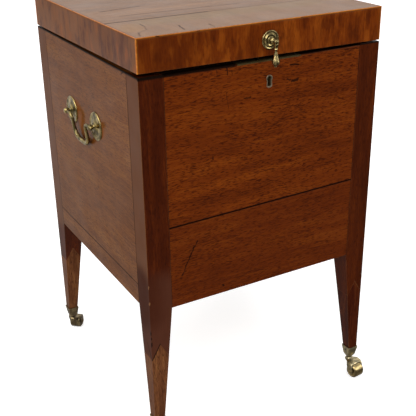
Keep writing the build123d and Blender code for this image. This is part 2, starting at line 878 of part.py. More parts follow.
def at_handle_posts(piece):
    """A piece repeated at the four posts of the two handles."""
    pieces = []
    for side in ("left", "right"):
        outer = side_sizes(side)[1]
        for x in handle_places(side):
            pieces.append(turn_to(side, facing(x, -outer, handle_height, "front") * piece()))
    return Compound(children=pieces)


def bail_stations():
    """Half of a bail's middle line, from its end to its middle: distance, depth, slope and radius."""
    end = handle_spread / 2
    neck = end - bail_neck_inset
    bends = [90 * step / bail_bend_steps for step in range(bail_bend_steps + 1)]
    stations = [(end + bail_end_overhang, 0, 0, bail_end_radius)]
    for slope in bends:
        angle = math.radians(slope)
        across = neck + bail_neck_bend * (1 - math.sin(angle))
        stations.append((across, bail_neck_bend * (1 - math.cos(angle)), slope, bail_end_radius))
    for slope in reversed(bends):
        angle = math.radians(slope)
        across = neck - bail_grip_bend * (1 - math.sin(angle))
        depth = bail_depth - bail_grip_bend * (1 - math.cos(angle))
        stations.append((across, depth, slope, bail_leg_radius))
    stations.append((0, bail_depth, 0, bail_grip_radius))
    return stations


def handle_bail():
    """Swan-necked bail, drawn hanging in a level place with its pivots on X; it thickens to the grip."""
    half = bail_stations()
    line = half + [(-x, depth, -slope, radius) for x, depth, slope, radius in reversed(half[:-1])]
    sections = []
    for x, depth, slope, radius in line:
        angle = math.radians(slope)
        heading = Vector(-math.cos(angle), 0, -math.sin(angle))
        sections.append(Plane(origin=(x, 0, -depth), x_dir=(0, 1, 0), z_dir=heading) * Circle(radius))
    return loft(sections, ruled=True)


def side_bail(side):
    """The bail of one side, leaning against the case from its pivots."""
    outer = side_sizes(side)[1]
    centre = sum(handle_places(side)) / 2
    place = Pos(centre, -outer - handle_pivot_reach, handle_height) * Rot(bail_lean, 0, 0)
    return turn_to(side, place * handle_bail())


# Castors

def castor_cup():
    """Square socket cup with the riveted swivel pin under it, on its own axis."""
    rim = cup_rim_width / 2
    shoulder = cup_shoulder_width / 2
    neck = cup_neck_width / 2
    cup = four_sided([(rim, cup_rim), (-rim, cup_rim), (-shoulder, cup_shoulder_top), (-neck, neck_bottom),
                      (neck, neck_bottom), (shoulder, cup_shoulder_top)])
    mouth = foot_width / 2 + groove_clearance / 2
    end = cup_socket_end_width / 2
    cup -= four_sided([(mouth, cup_rim), (-mouth, cup_rim), (-end, cup_floor), (end, cup_floor)])
    head_top = plate_low - swivel_gap
    pin_top = neck_bottom + 1
    cup += rod(swivel_pin_radius, head_top, pin_top)
    return cup + rod(swivel_head_radius, head_top - swivel_head_height, head_top)


def castor_cups():
    """The four cups."""
    cup = Pos(foot_x, foot_y, 0) * castor_cup()
    return Compound(children=[at_corner(cup, sign_x, sign_y) for _, sign_x, sign_y, _ in corners])


def castor_place(sign_x, sign_y, direction):
    """Place of a horn: its +X points the way the castor trails."""
    return Pos(sign_x * foot_x, sign_y * foot_y, 0) * Rot(0, 0, direction)


def castor_horn():
    """Horn: a plate with a conical boss over the roller and two cheeks down to the axle."""
    inner = wheel_width / 2 + horn_side_gap
    outer = inner + horn_wall
    axle_z = wheel_diameter / 2
    far = castor_trail + horn_eye_radius
    side = outline((-horn_nose, plate_high), (castor_trail, plate_high), (far, axle_z),
                   ((castor_trail, axle_z - horn_eye_radius), (castor_trail - horn_eye_radius, axle_z)),
                   (-horn_nose, plate_low))
    horn = prism(side, "y", -outer, outer)
    horn -= box_between((-horn_nose - 1, -inner, 0), (far + 1, inner, plate_low))
    plan = [(-horn_nose, -outer / 2), (-horn_nose, outer / 2), (-2, outer), (far, outer), (far, -outer),
            (-2, -outer)]
    horn = horn & prism(outline(*plan), "z", 0, plate_high)
    foot = plate_high - 1
    boss = [(0, foot), (horn_boss_radius, foot), (horn_boss_radius, plate_high),
            (horn_boss_top_radius, boss_top), (0, boss_top)]
    horn += turned(outline(*boss))
    horn -= rod(swivel_pin_radius + running_clearance, 0, boss_top + 1)
    bore = rod(axle_radius + running_clearance, -outer - 1, outer + 1)
    return horn - Pos(castor_trail, 0, axle_z) * Rot(90, 0, 0) * bore


def castor_axle():
    """Axle through both cheeks, its riveted ends standing a little out of them."""
    end = wheel_width / 2 + horn_side_gap + horn_wall + axle_end_height
    return Pos(castor_trail, 0, wheel_diameter / 2) * Rot(90, 0, 0) * rod(axle_radius, -end, end)


def castor_wheel():
    """Broad roller with bevelled ends and a bore for the axle."""
    radius = wheel_diameter / 2
    half = wheel_width / 2
    bore = axle_radius + running_clearance
    face = outline((bore, -half), (radius - wheel_bevel, -half), (radius, wheel_bevel - half),
                   (radius, half - wheel_bevel), (radius - wheel_bevel, half), (bore, half))
    return Pos(castor_trail, 0, radius) * Rot(90, 0, 0) * turned(face)


def all_nodes():
    """Every named piece of the cellarette."""
    nodes = {
        "front_board_upper": front_upper_board(),
        "front_board_lower": front_lower_board(),
        "left_board_upper": side_upper_board("left"),
        "left_board_lower": side_lower_board("left"),
        "right_board_upper": side_upper_board("right"),
        "right_board_lower": side_lower_board("right"),
        "back_board": back_board(),
        "bottom_board": bottom_board(),
        "bottom_ledgers": bottom_ledgers(),
        "lead_lining": lead_lining(),
        "bottle_dividers_crosswise": divider_boards("x"),
        "bottle_dividers_lengthwise": divider_boards("y"),
        "top_lip": top_lip(),
        "hinge_leaves_case": hinge_leaves(0),
        "hinge_leaves_lid": hinge_leaves(1),
        "hinge_pins": hinge_pins(),
        "lock_case": lock_case(),
        "lock_bolt": lock_bolt(),
        "lock_link_plate": lock_link_plate(),
        "keyhole_escutcheon": keyhole_escutcheon(),
        "handle_roses": at_handle_posts(handle_rose),
        "handle_posts": at_handle_posts(handle_post),
        "handle_nuts": at_handle_posts(handle_nut),
        "handle_bail_left": side_bail("left"),
        "handle_bail_right": side_bail("right"),
        "castor_cups": castor_cups(),
        "lid_top_board": lid_top_board(),
        "lid_rim_veneers": lid_rim_veneers(),
        "lid_field_veneer": lid_field_veneer(),
        "lid_front_veneer": lid_front_veneer(),
        "lid_stringing": lid_stringing(),
        "pull_rose": pull_rose(),
        "pull_post": pull_post(),
        "pull_drop": pull_drop(),
    }
    for side in side_turns:
        nodes["lid_rim_" + side] = lid_rim(side)
    stile = upper_leg()
    tip = leg_tip()
    horn = castor_horn()
    axle = castor_axle()
    wheel = castor_wheel()
    for name, sign_x, sign_y, direction in corners:
        nodes["upper_leg_" + name] = at_corner(stile, sign_x, sign_y)
        nodes["leg_tip_" + name] = at_corner(tip, sign_x, sign_y)
        place = castor_place(sign_x, sign_y, direction)
        nodes["castor_horn_" + name] = place * horn
        nodes["castor_axle_" + name] = place * axle
        nodes["castor_wheel_" + name] = place * wheel
    return nodes


os.makedirs("parts", exist_ok=True)
for node_name, shape in all_nodes().items():
    export_step(shape, "parts/" + node_name + ".step")
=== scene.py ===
"""Looks of the antique cellarette: finishes, turned brasses, castors and studio."""

import logging
import math
from collections.abc import Callable, Iterable
from dataclasses import dataclass, field, replace
from enum import Enum

import bmesh
import bpy
from mathutils import Matrix, Vector


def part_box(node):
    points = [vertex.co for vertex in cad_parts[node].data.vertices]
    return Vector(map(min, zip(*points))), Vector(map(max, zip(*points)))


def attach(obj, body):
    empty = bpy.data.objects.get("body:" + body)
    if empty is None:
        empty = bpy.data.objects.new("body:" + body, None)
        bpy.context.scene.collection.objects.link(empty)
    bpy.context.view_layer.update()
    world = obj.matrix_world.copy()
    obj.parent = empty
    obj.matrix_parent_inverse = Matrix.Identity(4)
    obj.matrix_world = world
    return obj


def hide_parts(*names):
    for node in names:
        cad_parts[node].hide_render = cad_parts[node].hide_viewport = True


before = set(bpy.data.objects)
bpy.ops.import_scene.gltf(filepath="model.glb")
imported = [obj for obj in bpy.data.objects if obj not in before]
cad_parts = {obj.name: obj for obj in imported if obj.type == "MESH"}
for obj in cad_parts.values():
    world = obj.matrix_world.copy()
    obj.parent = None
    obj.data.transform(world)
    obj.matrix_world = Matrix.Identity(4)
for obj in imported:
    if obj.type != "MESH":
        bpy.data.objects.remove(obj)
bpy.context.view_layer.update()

log = logging.getLogger("cellarette")

MM = 0.001
Colour = tuple[float, float, float]
Point = tuple[float, float, float]
Profile = list[tuple[float, float]]
Socket = bpy.types.NodeSocket
Finish = bpy.types.Material
Piece = bpy.types.Object
Work = bmesh.types.BMesh
Ring = list[bmesh.types.BMVert]


def shift(x: float, y: float, z: float) -> Matrix:
    """A move in a straight line."""
    return Matrix.Translation(Vector((x, y, z)))


def spin(degrees: float, axis: str) -> Matrix:
    """A turn about an axis."""
    return Matrix.Rotation(math.radians(degrees), 4, axis)


class Grain(Enum):
    """Direction in which the fibres of a board run."""

    ACROSS = (0.0, 0.0, 0.0)
    DEEP = (0.0, 0.0, math.pi / 2)
    UPRIGHT = (0.0, math.pi / 2, 0.0)


class Facing(Enum):
    """Outward side of the case, as a tilt and a turn in degrees of a piece drawn facing up."""

    FRONT = (90.0, 0.0)
    LEFT = (90.0, -90.0)
    RIGHT = (90.0, 90.0)
    UP = (0.0, 0.0)
    DOWN = (180.0, 0.0)

    def at(self, x: float, y: float, z: float) -> Matrix:
        """The place of a piece whose own +Z faces outward, its origin given in millimetres."""
        return shift(x, y, z) @ spin(self.value[1], "Z") @ spin(self.value[0], "X")


# Node trees

class Wiring:
    """Short calls that add, set and link the nodes of one material or node group."""

    def __init__(self, tree: bpy.types.NodeTree) -> None:
        """Keeps the tree to write into."""
        self.tree = tree

    def add(self, kind: str, inputs: dict | None = None, **settings: object) -> bpy.types.Node:
        """Adds a node.

        Args:
            kind: the node's type, without the ShaderNode in front.
            inputs: socket name or number, and the value or the socket to link to it.
            settings: the node's own options.

        Returns:
            The new node.
        """
        node = self.tree.nodes.new("ShaderNode" + kind)
        for option, value in settings.items():
            setattr(node, option, value)
        for socket, value in (inputs or {}).items():
            if isinstance(value, Socket):
                self.tree.links.new(value, node.inputs[socket])
            elif isinstance(value, tuple) and len(value) == 3 and node.inputs[socket].type == "RGBA":
                node.inputs[socket].default_value = (*value, 1.0)
            else:
                node.inputs[socket].default_value = value
        return node

    def calc(self, operation: str, *values: object, clamp: bool = False) -> Socket:
        """The result of one sum of numbers."""
        return self.add("Math", dict(enumerate(values)), operation=operation, use_clamp=clamp).outputs[0]

    def vector(self, operation: str, *values: object) -> bpy.types.Node:
        """A vector sum; its first output is the vector, its second the number."""
        return self.add("VectorMath", dict(enumerate(values)), operation=operation)

    def mix(self, factor: object, first: object, second: object) -> Socket:
        """A blend of two colours."""
        return self.add("Mix", {0: factor, 6: first, 7: second}, data_type="RGBA").outputs[2]

    def scale(self, vector: object, factor: object) -> Socket:
        """A vector times a number."""
        return self.add("VectorMath", {0: vector, "Scale": factor}, operation="SCALE").outputs[0]

    def remap(self, value: object, low: float, high: float, to_low: float = 0.0, to_high: float = 1.0,
              smooth: bool = False) -> Socket:
        """A value moved from one range to another.

        Args:
            value: the number or socket.
            low: where the first range starts.
            high: where it ends.
            to_low: where the second range starts.
            to_high: where it ends.
            smooth: whether it eases in and out.

        Returns:
            The new value, held inside the second range.
        """
        kind = "SMOOTHSTEP" if smooth else "LINEAR"
        inputs = {0: value, 1: low, 2: high, 3: to_low, 4: to_high}
        return self.add("MapRange", inputs, interpolation_type=kind).outputs[0]

    def noise(self, place: object, detail: float = 2.0, rough: float = 0.5,
              scale: float = 1.0) -> Socket:
        """A cloudy pattern from 0 to 1 over a place."""
        inputs = {"Vector": place, "Scale": scale, "Detail": detail, "Roughness": rough}
        return self.add("TexNoise", inputs).outputs["Fac"]

    def link(self, result: Socket, shader: bpy.types.Node, socket: str) -> None:
        """Links a result to a socket of a shader."""
        self.tree.links.new(result, shader.inputs[socket])

    def effect(self, group: bpy.types.NodeTree, inputs: dict) -> bpy.types.NodeSocketCollection:
        """Places one of the shared effects, and gives its outputs."""
        return self.add("Group", inputs, node_tree=group).outputs


def new_effect(name: str, inputs: dict[str, str], outputs: dict[str, str]) -> tuple[Wiring, dict, Callable]:
    """Starts a shared effect, a shader node group.

    Args:
        name: the group's name.
        inputs: socket name and kind, such as Float, Vector or Color.
        outputs: the same for what it gives.

    Returns:
        The group's wiring, its input sockets by name, and a call that links its outputs.
    """
    tree = bpy.data.node_groups.new(name, "ShaderNodeTree")
    for label, kind in inputs.items():
        tree.interface.new_socket(name=label, in_out="INPUT", socket_type="NodeSocket" + kind)
    for label, kind in outputs.items():
        tree.interface.new_socket(name=label, in_out="OUTPUT", socket_type="NodeSocket" + kind)
    source = tree.nodes.new("NodeGroupInput")
    sink = tree.nodes.new("NodeGroupOutput")

    def give(results: dict) -> None:
        """Links the results to the group's outputs."""
        for label, socket in results.items():
            tree.links.new(socket, sink.inputs[label])

    return Wiring(tree), {label: source.outputs[label] for label in inputs}, give


class Effects:
    """The effects that several materials share, each built once."""

    def __init__(self) -> None:
        """Builds all of them."""
        self.grain = self.make_grain()
        self.stroke = self.make_stroke()
        self.wear_and_glint = self.make_wear_and_glint()
        self.grime_and_shade = self.make_grime_and_shade()
        self.patches = self.make_patches()

    def make_grain(self) -> bpy.types.NodeTree:
        """Mahogany figure: broad ribbons, fine streaks and short dark pores along the fibres.

        Returns:
            The group; Place is in millimetres with the fibres along X.
        """
        kinds = {"Place": "Vector", "Dark": "Color", "Middle": "Color", "Light": "Color",
                 "Ribbon Length": "Float", "Ribbon Width": "Float", "Streak Width": "Float",
                 "Waviness": "Float", "Contrast": "Float", "Pore Width": "Float", "Pores": "Float"}
        wire, given, give = new_effect("mahogany grain", kinds,
                                       {"Color": "Color", "Pores": "Float", "Height": "Float"})
        place = given["Place"]
        drift = wire.noise(wire.vector("MULTIPLY", place, (0.009, 0.016, 0.016)).outputs[0], 1.0)
        drift = wire.calc("MULTIPLY", wire.calc("SUBTRACT", drift, 0.5), given["Waviness"])
        shift = wire.add("CombineXYZ", {"Y": drift, "Z": drift}).outputs[0]
        bent = wire.vector("ADD", place, shift).outputs[0]

        def fibres(length: object, width: object, detail: float) -> Socket:
            """Noise drawn out along the fibres."""
            size = wire.add("CombineXYZ", {"X": length, "Y": width, "Z": width}).outputs[0]
            return wire.noise(wire.vector("DIVIDE", bent, size).outputs[0], detail)

        ribbons = fibres(given["Ribbon Length"], given["Ribbon Width"], 2.0)
        streak_length = wire.calc("MULTIPLY", given["Streak Width"], 22.0)
        streaks = fibres(streak_length, given["Streak Width"], 2.0)
        mixed = wire.calc("ADD", wire.calc("MULTIPLY", ribbons, 0.55), wire.calc("MULTIPLY", streaks, 0.45))
        spread = wire.calc("MULTIPLY", wire.calc("SUBTRACT", mixed, 0.5), given["Contrast"])
        tone = wire.calc("ADD", spread, 0.5, clamp=True)
        below = wire.mix(wire.remap(tone, 0.0, 0.5), given["Dark"], given["Middle"])
        colour = wire.mix(wire.remap(tone, 0.5, 1.0), below, given["Light"])
        pore_length = wire.calc("MULTIPLY", given["Pore Width"], 9.0)
        dashes = fibres(pore_length, given["Pore Width"], 1.0)
        crowd = wire.noise(wire.vector("MULTIPLY", place, (0.02, 0.035, 0.035)).outputs[0], 1.0)
        reach = wire.calc("ADD", dashes, wire.calc("MULTIPLY", wire.calc("SUBTRACT", crowd, 0.5), 0.14))
        pores = wire.calc("MULTIPLY", wire.remap(reach, 0.52, 0.66, smooth=True), given["Pores"])
        dashed = wire.mix(pores, colour, given["Dark"])
        shade = wire.mix(wire.calc("MULTIPLY", pores, 0.5), dashed, (0.0, 0.0, 0.0))
        height = wire.calc("SUBTRACT", wire.calc("MULTIPLY", streaks, 0.35), pores)
        give({"Color": shade, "Pores": pores, "Height": height})
        return wire.tree

    def make_stroke(self) -> bpy.types.NodeTree:
        """A crack, scratch, stain or line of painted shade: everything near a line from one point to
        another.

        Returns:
            The group; its Mask is 1 on the line and 0 at its width.
        """
        kinds = {"Place": "Vector", "Start": "Vector", "End": "Vector", "Width": "Float"}
        wire, given, give = new_effect("stroke", kinds, {"Mask": "Float"})
        run = wire.vector("SUBTRACT", given["End"], given["Start"]).outputs[0]
        here = wire.vector("SUBTRACT", given["Place"], given["Start"]).outputs[0]
        along = wire.vector("DOT_PRODUCT", here, run).outputs["Value"]
        whole = wire.vector("DOT_PRODUCT", run, run).outputs["Value"]
        share = wire.calc("DIVIDE", along, wire.calc("ADD", whole, 1e-6), clamp=True)
        away = wire.vector("DISTANCE", here, wire.scale(run, share)).outputs["Value"]
        ratio = wire.calc("DIVIDE", away, given["Width"])
        give({"Mask": wire.remap(ratio, 0.35, 1.0, 1.0, 0.0, smooth=True)})
        return wire.tree

    def make_wear_and_glint(self) -> bpy.types.NodeTree:
        """Rubbed edges: how far the surface turns within a radius, broken up by a cloudy pattern; on brass
        the bright rubbed edges also stand in for painted highlights on rims.

        Returns:
            The group with its Mask.
        """
        kinds = {"Place": "Vector", "Radius": "Float", "Amount": "Float"}
        wire, given, give = new_effect("edge wear", kinds, {"Mask": "Float"})
        # On brass this rubbed-edge mask also serves as painted highlights on rims and rings.
        rounded = wire.add("Bevel", {"Radius": given["Radius"]}, samples=4).outputs[0]
        true = wire.add("NewGeometry").outputs["Normal"]
        same = wire.vector("DOT_PRODUCT", rounded, true).outputs["Value"]
        edge = wire.remap(same, 0.995, 0.86)
        clouds = wire.remap(wire.noise(given["Place"], 3.0, 0.6, 0.09), 0.35, 0.7)
        worn_and_lit = wire.calc("MULTIPLY", wire.calc("MULTIPLY", edge, clouds), given["Amount"], clamp=True)
        give({"Mask": worn_and_lit})
        return wire.tree

    def make_grime_and_shade(self) -> bpy.types.NodeTree:
        """Old polish and dirt that lies in corners and joints, together with painted shade: darker wherever
        ambient occlusion finds the surface shut in.

        Returns:
            The group with its Mask.
        """
        kinds = {"Place": "Vector", "Reach": "Float", "Amount": "Float"}
        wire, given, give = new_effect("grime_and_shade", kinds, {"Mask": "Float"})
        # Painted shade: ambient occlusion darkens corners, joints and hollows, besides laying the dirt
        # there.
        open_share = wire.add("AmbientOcclusion", {"Distance": given["Reach"]}, samples=6).outputs["AO"]
        shut = wire.remap(open_share, 0.75, 0.3)
        clouds = wire.remap(wire.noise(given["Place"], 3.0, 0.6, 0.3), 0.2, 0.75, 0.45, 1.0)
        dirt_and_shade = wire.calc("MULTIPLY", wire.calc("MULTIPLY", shut, clouds), given["Amount"], clamp=True)
        give({"Mask": dirt_and_shade})
        return wire.tree

    def make_patches(self) -> bpy.types.NodeTree:
        """Lengths of cross-grained veneer laid side by side, each of its own tone.

        Returns:
            The group; Along is in millimetres, Tone differs from patch to patch, Joint marks the seams.
        """
        wire, given, give = new_effect("veneer lengths", {"Along": "Float", "Length": "Float"},
                                       {"Tone": "Float", "Joint": "Float"})
        place = wire.calc("DIVIDE", given["Along"], given["Length"])
        line = {"W": place, "Scale": 1.0, "Randomness": 1.0}
        cells = wire.add("TexVoronoi", line, voronoi_dimensions="1D")
        tone = wire.add("SeparateColor", {0: cells.outputs["Color"]}).outputs[0]
        seams = wire.add("TexVoronoi", line, voronoi_dimensions="1D", feature="DISTANCE_TO_EDGE")
        gap = wire.calc("MULTIPLY", seams.outputs["Distance"], given["Length"])
        give({"Tone": tone, "Joint": wire.remap(gap, 0.2, 0.7, 1.0, 0.0)})
        return wire.tree


effects = Effects()


def new_material(name: str) -> tuple[Finish, Wiring, bpy.types.Node]:
    """Starts a material.

    Args:
        name: the finish's name.

    Returns:
        The material, its wiring and its Principled shader.
    """
    material = bpy.data.materials.new(name)
    material.use_nodes = True
    wire = Wiring(material.node_tree)
    shader = material.node_tree.nodes["Principled BSDF"]
    return material, wire, shader


def place_in_mm(wire: Wiring) -> Socket:
    """The point being shaded in the object's own place, in millimetres."""
    return wire.scale(wire.add("TexCoord").outputs["Object"], 1000.0)


@dataclass(frozen=True)
class Stroke:
    """A crack, scratch, stain, glue line, or a line or patch of painted shade on a surface, in millimetres;
    an exact one doesn't sway.
    """

    start: Point
    end: Point
    width: float = 1.2
    strength: float = 0.9
    exact: bool = False
    colour: Colour = (0.006, 0.0025, 0.0012)


def aged_edges(wire: Wiring, place: Socket, radius: float, reach: float, wear_and_glint: float,
               grime_and_shade: float) -> tuple[Socket, Socket]:
    """Where edges are rubbed, on brass also standing in for painted highlights, and where dirt and painted
    shade lie.

    Args:
        wire: the material's wiring.
        place: the point, in millimetres.
        radius: how wide the rubbed edges are, in millimetres.
        reach: how far the dirt and painted shade spread from a corner, in millimetres.
        wear_and_glint: the strength of the rubbing, which on brass is also painted highlight.
        grime_and_shade: the strength of the dirt and painted shade.

    Returns:
        The two masks.
    """
    worn_and_lit = wire.effect(effects.wear_and_glint, {"Place": place, "Radius": radius * MM, "Amount": wear_and_glint})["Mask"]
    dirt_and_shade = wire.effect(effects.grime_and_shade, {"Place": place, "Reach": reach * MM, "Amount": grime_and_shade})["Mask"]
    return worn_and_lit, dirt_and_shade


def relieved(wire: Wiring, shader: bpy.types.Node, height: Socket, strength: float,
             distance: float) -> None:
    """Gives a shader a relief, its depth in millimetres."""
    bump = wire.add("Bump", {"Height": height, "Strength": strength, "Distance": distance * MM})
    wire.link(bump.outputs[0], shader, "Normal")


@dataclass(frozen=True)
class Wood:
    """Finish of a wooden surface, in linear colours and millimetres."""

    name: str
    grain: Grain
    dark: Colour
    middle: Colour
    light: Colour
    ribbon: tuple[float, float] = (150.0, 16.0)
    streak_width: float = 2.4
    waviness: float = 14.0
    contrast: float = 2.2
    pore_width: float = 1.1
    pores: float = 0.7
    roughness: float = 0.5
    polish: float = 0.42
    polish_roughness: float = 0.12
    relief: float = 0.05
    wear_and_glint: float = 0.6
    wear_colour: Colour = (0.25, 0.11, 0.035)
    grime_and_shade: float = 0.8
    patch_length: float = 0.0
    # Painted light: a lighter tone for the left and right faces.
    painted_side_light: Colour | None = None
    strokes: tuple[Stroke, ...] = ()
    offset: Point = (0.0, 0.0, 0.0)

    def build(self) -> Finish:
        """Makes the material.

        Returns:
            The material, ready to assign.
        """
        material, wire, shader = new_material(self.name)
        place = place_in_mm(wire)
        laid = {"Vector": place, "Rotation": self.grain.value, "Location": self.offset}
        grain = wire.effect(effects.grain, {
            "Place": wire.add("Mapping", laid).outputs[0], "Dark": self.dark, "Middle": self.middle,
            "Light": self.light, "Ribbon Length": self.ribbon[0], "Ribbon Width": self.ribbon[1],
            "Streak Width": self.streak_width, "Waviness": self.waviness, "Contrast": self.contrast,
            "Pore Width": self.pore_width, "Pores": self.pores})
        colour = grain["Color"]
        height = grain["Height"]
        # Painted light: the left and right faces are lightened towards the side boards' tone, fading in
        # from 245 to 275 mm up.
        if self.painted_side_light:
            across, _, level = wire.add("SeparateXYZ", {0: place}).outputs
            outer = wire.remap(wire.calc("ABSOLUTE", across), 215.3, 215.8, 0.0, 0.75)
            outer = wire.calc("MULTIPLY", outer, wire.remap(level, 245.0, 275.0, smooth=True))
            colour = wire.mix(outer, colour, self.painted_side_light)
        if self.patch_length:
            colour, height = self.veneered(wire, place, colour, height)
        # Rubbed edges turn lighter; corners and joints darken with dirt and with painted shade from ambient
        # occlusion.
        worn_and_lit, dirt_and_shade = aged_edges(wire, place, 1.1, 7.0, self.wear_and_glint, self.grime_and_shade)
        colour = wire.mix(worn_and_lit, colour, self.wear_colour)
        colour = wire.mix(dirt_and_shade, colour, (0.006, 0.003, 0.0015))
        colour, height, bared = self.marked(wire, place, colour, height)
        blotches = wire.noise(place, 2.0, 0.5, 0.022)
        wire.link(colour, shader, "Base Color")
        low = self.roughness - 0.07
        matt = wire.calc("ADD", wire.remap(blotches, 0.3, 0.7, low, self.roughness + 0.07),
                         wire.calc("MULTIPLY", worn_and_lit, 0.2))
        wire.link(matt, shader, "Roughness")
        relieved(wire, shader, height, 0.6, self.relief)
        if self.polish:
            film = wire.remap(blotches, 0.25, 0.75, self.polish, self.polish * 0.85)
            bare = wire.calc("MAXIMUM", worn_and_lit, bared)
            film = wire.calc("MULTIPLY", film, wire.calc("SUBTRACT", 1.0, wire.calc("MULTIPLY", bare, 0.8)))
            wire.link(film, shader, "Coat Weight")
            shader.inputs["Coat Roughness"].default_value = self.polish_roughness
        shader.inputs["Specular IOR Level"].default_value = 0.02
        return material

    def veneered(self, wire: Wiring, place: Socket, colour: Socket,
                 height: Socket) -> tuple[Socket, Socket]:
        """Lays the surface in short lengths of veneer.

        Args:
            wire: the material's wiring.
            place: the point, in millimetres.
            colour: the colour so far.
            height: the relief so far.

        Returns:
            The new colour and relief.
        """
        parts = wire.add("SeparateXYZ", {0: place}).outputs
        round_lid = wire.calc("ADD", parts[0], parts[1])
        lengths = wire.effect(effects.patches, {"Along": round_lid, "Length": self.patch_length})
        clouds = wire.noise(wire.vector("MULTIPLY", place, (0.05, 0.05, 0.02)).outputs[0], 3.0, 0.6)
        toned = wire.mix(wire.remap(lengths["Tone"], 0.3, 1.0, 0.0, 0.5), colour, self.dark)
        toned = wire.mix(wire.remap(clouds, 0.5, 0.66, 0.0, 0.7, smooth=True), toned, self.dark)
        lit = wire.mix(wire.remap(clouds, 0.47, 0.33, 0.0, 0.55, smooth=True), toned, self.light)
        leftward = wire.remap(parts[0], -60.0, -190.0, 0.0, 0.42, smooth=True)
        front = wire.remap(parts[1], -215.5, -214.0, 1.0, 0.0)
        aged = wire.mix(wire.calc("MULTIPLY", leftward, front), lit, self.dark)
        open_joint = wire.calc("MULTIPLY", lengths["Joint"], wire.calc("SUBTRACT", 1.0, front))
        seamed = wire.mix(wire.calc("MULTIPLY", open_joint, 0.75), aged, (0.01, 0.004, 0.002))
        return seamed, wire.calc("SUBTRACT", height, open_joint)

    def marked(self, wire: Wiring, place: Socket, colour: Socket,
               height: Socket) -> tuple[Socket, Socket, Socket | float]:
        """Adds the cracks, scratches and stains, and the lines and patches of painted shade.

        Args:
            wire: the material's wiring.
            place: the point, in millimetres.
            colour: the colour so far.
            height: the relief so far.

        Returns:
            The new colour and relief, and where the polish is gone.
        """
        total = 0.0
        ripple = wire.add("TexNoise", {"Vector": place, "Scale": 0.14, "Detail": 3.0}).outputs["Color"]
        sway = wire.vector("SUBTRACT", ripple, (0.5, 0.5, 0.5)).outputs[0]
        loose = wire.vector("ADD", place, wire.scale(sway, 6.0)).outputs[0]
        for stroke in self.strokes:
            line = wire.effect(effects.stroke, {
                "Place": place if stroke.exact else loose, "Start": stroke.start, "End": stroke.end,
                "Width": stroke.width})["Mask"]
            line = wire.calc("MULTIPLY", line, stroke.strength)
            colour = wire.mix(line, colour, stroke.colour)
            height = wire.calc("SUBTRACT", height, line)
            total = wire.calc("MAXIMUM", total, line)
        return colour, height, total


@dataclass(frozen=True)
class Metal:
    """Finish of a metal surface, in linear colours and millimetres."""

    name: str
    bright: Colour
    dull: Colour
    tarnish: float = 0.5
    roughness: float = 0.22
    dull_roughness: float = 0.45
    cloud_size: float = 7.0
    grime_and_shade: float = 1.0
    relief: float = 0.03
    wear_and_glint: float = 0.7
    metallic: float = 1.0

    def build(self) -> Finish:
        """Makes the material.

        Returns:
            The material, ready to assign.
        """
        material, wire, shader = new_material(self.name)
        place = place_in_mm(wire)
        clouds = wire.noise(place, 4.0, 0.62, 1.0 / self.cloud_size)
        middle = 0.72 - 0.45 * self.tarnish
        dulled = wire.remap(clouds, middle - 0.14, middle + 0.14, smooth=True)
        # Rubbed edges stay bright, also as painted highlights; corners darken with patina and with painted
        # shade from ambient occlusion.
        worn_and_lit, dirt_and_shade = aged_edges(wire, place, 0.7, 3.0, self.wear_and_glint, self.grime_and_shade)
        kept = wire.calc("MULTIPLY", dulled, wire.calc("SUBTRACT", 1.0, worn_and_lit))
        colour = wire.mix(kept, self.bright, self.dull)
        colour = wire.mix(dirt_and_shade, colour, (0.02, 0.014, 0.006))
        wire.link(colour, shader, "Base Color")
        matt = wire.remap(wire.calc("MAXIMUM", kept, dirt_and_shade), 0.0, 1.0, self.roughness, self.dull_roughness)
        wire.link(matt, shader, "Roughness")
        fine = wire.noise(place, 3.0, 0.6, 0.9)
        height = wire.calc("ADD", fine, wire.calc("MULTIPLY", clouds, 1.5))
        relieved(wire, shader, height, 0.5, self.relief)
        shader.inputs["Metallic"].default_value = self.metallic
        return material


# Mesh tools

def new_piece(name: str, work: Work, smooth: bool = True) -> Piece:
    """Turns a mesh drawn in millimetres into an object in metres.

    Args:
        name: the piece's name.
        work: the mesh, which is freed.
        smooth: whether its faces are shaded smooth.

    Returns:
        The object, linked to the scene.
    """
    bmesh.ops.recalc_face_normals(work, faces=work.faces)
    for vertex in work.verts:
        vertex.co *= MM
    mesh = bpy.data.meshes.new(name)
    work.to_mesh(mesh)
    work.free()
    for face in mesh.polygons:
        face.use_smooth = smooth
    piece = bpy.data.objects.new(name, mesh)
    bpy.context.scene.collection.objects.link(piece)
    return piece


def join_rings(work: Work, rings: list[Ring], closed: bool) -> None:
    """Skins a row of rings.

    Args:
        work: the mesh to draw in.
        rings: rings with the same number of points each.
        closed: whether the last ring joins the first; both ends are capped where it doesn't.
    """
    pairs = list(zip(rings, rings[1:] + rings[:1])) if closed else list(zip(rings, rings[1:]))
    for first, second in pairs:
        count = len(first)
        for i in range(count):
            work.faces.new((first[i], first[(i + 1) % count], second[(i + 1) % count], second[i]))
    if not closed:
        work.faces.new(rings[0])
        work.faces.new(rings[-1])


def placed(name: str, work: Work, rings: list[Ring], place: Matrix,
           closed: bool = False) -> Piece:
    """Skins rings and makes the piece.

    Args:
        name: the piece's name.
        work: the mesh that the rings lie in.
        rings: rings with the same number of points each.
        place: where it goes, in millimetres.
        closed: whether the last ring joins the first.

    Returns:
        The object.
    """
    join_rings(work, rings, closed)
    bmesh.ops.transform(work, matrix=place, verts=work.verts)
    return new_piece(name, work)


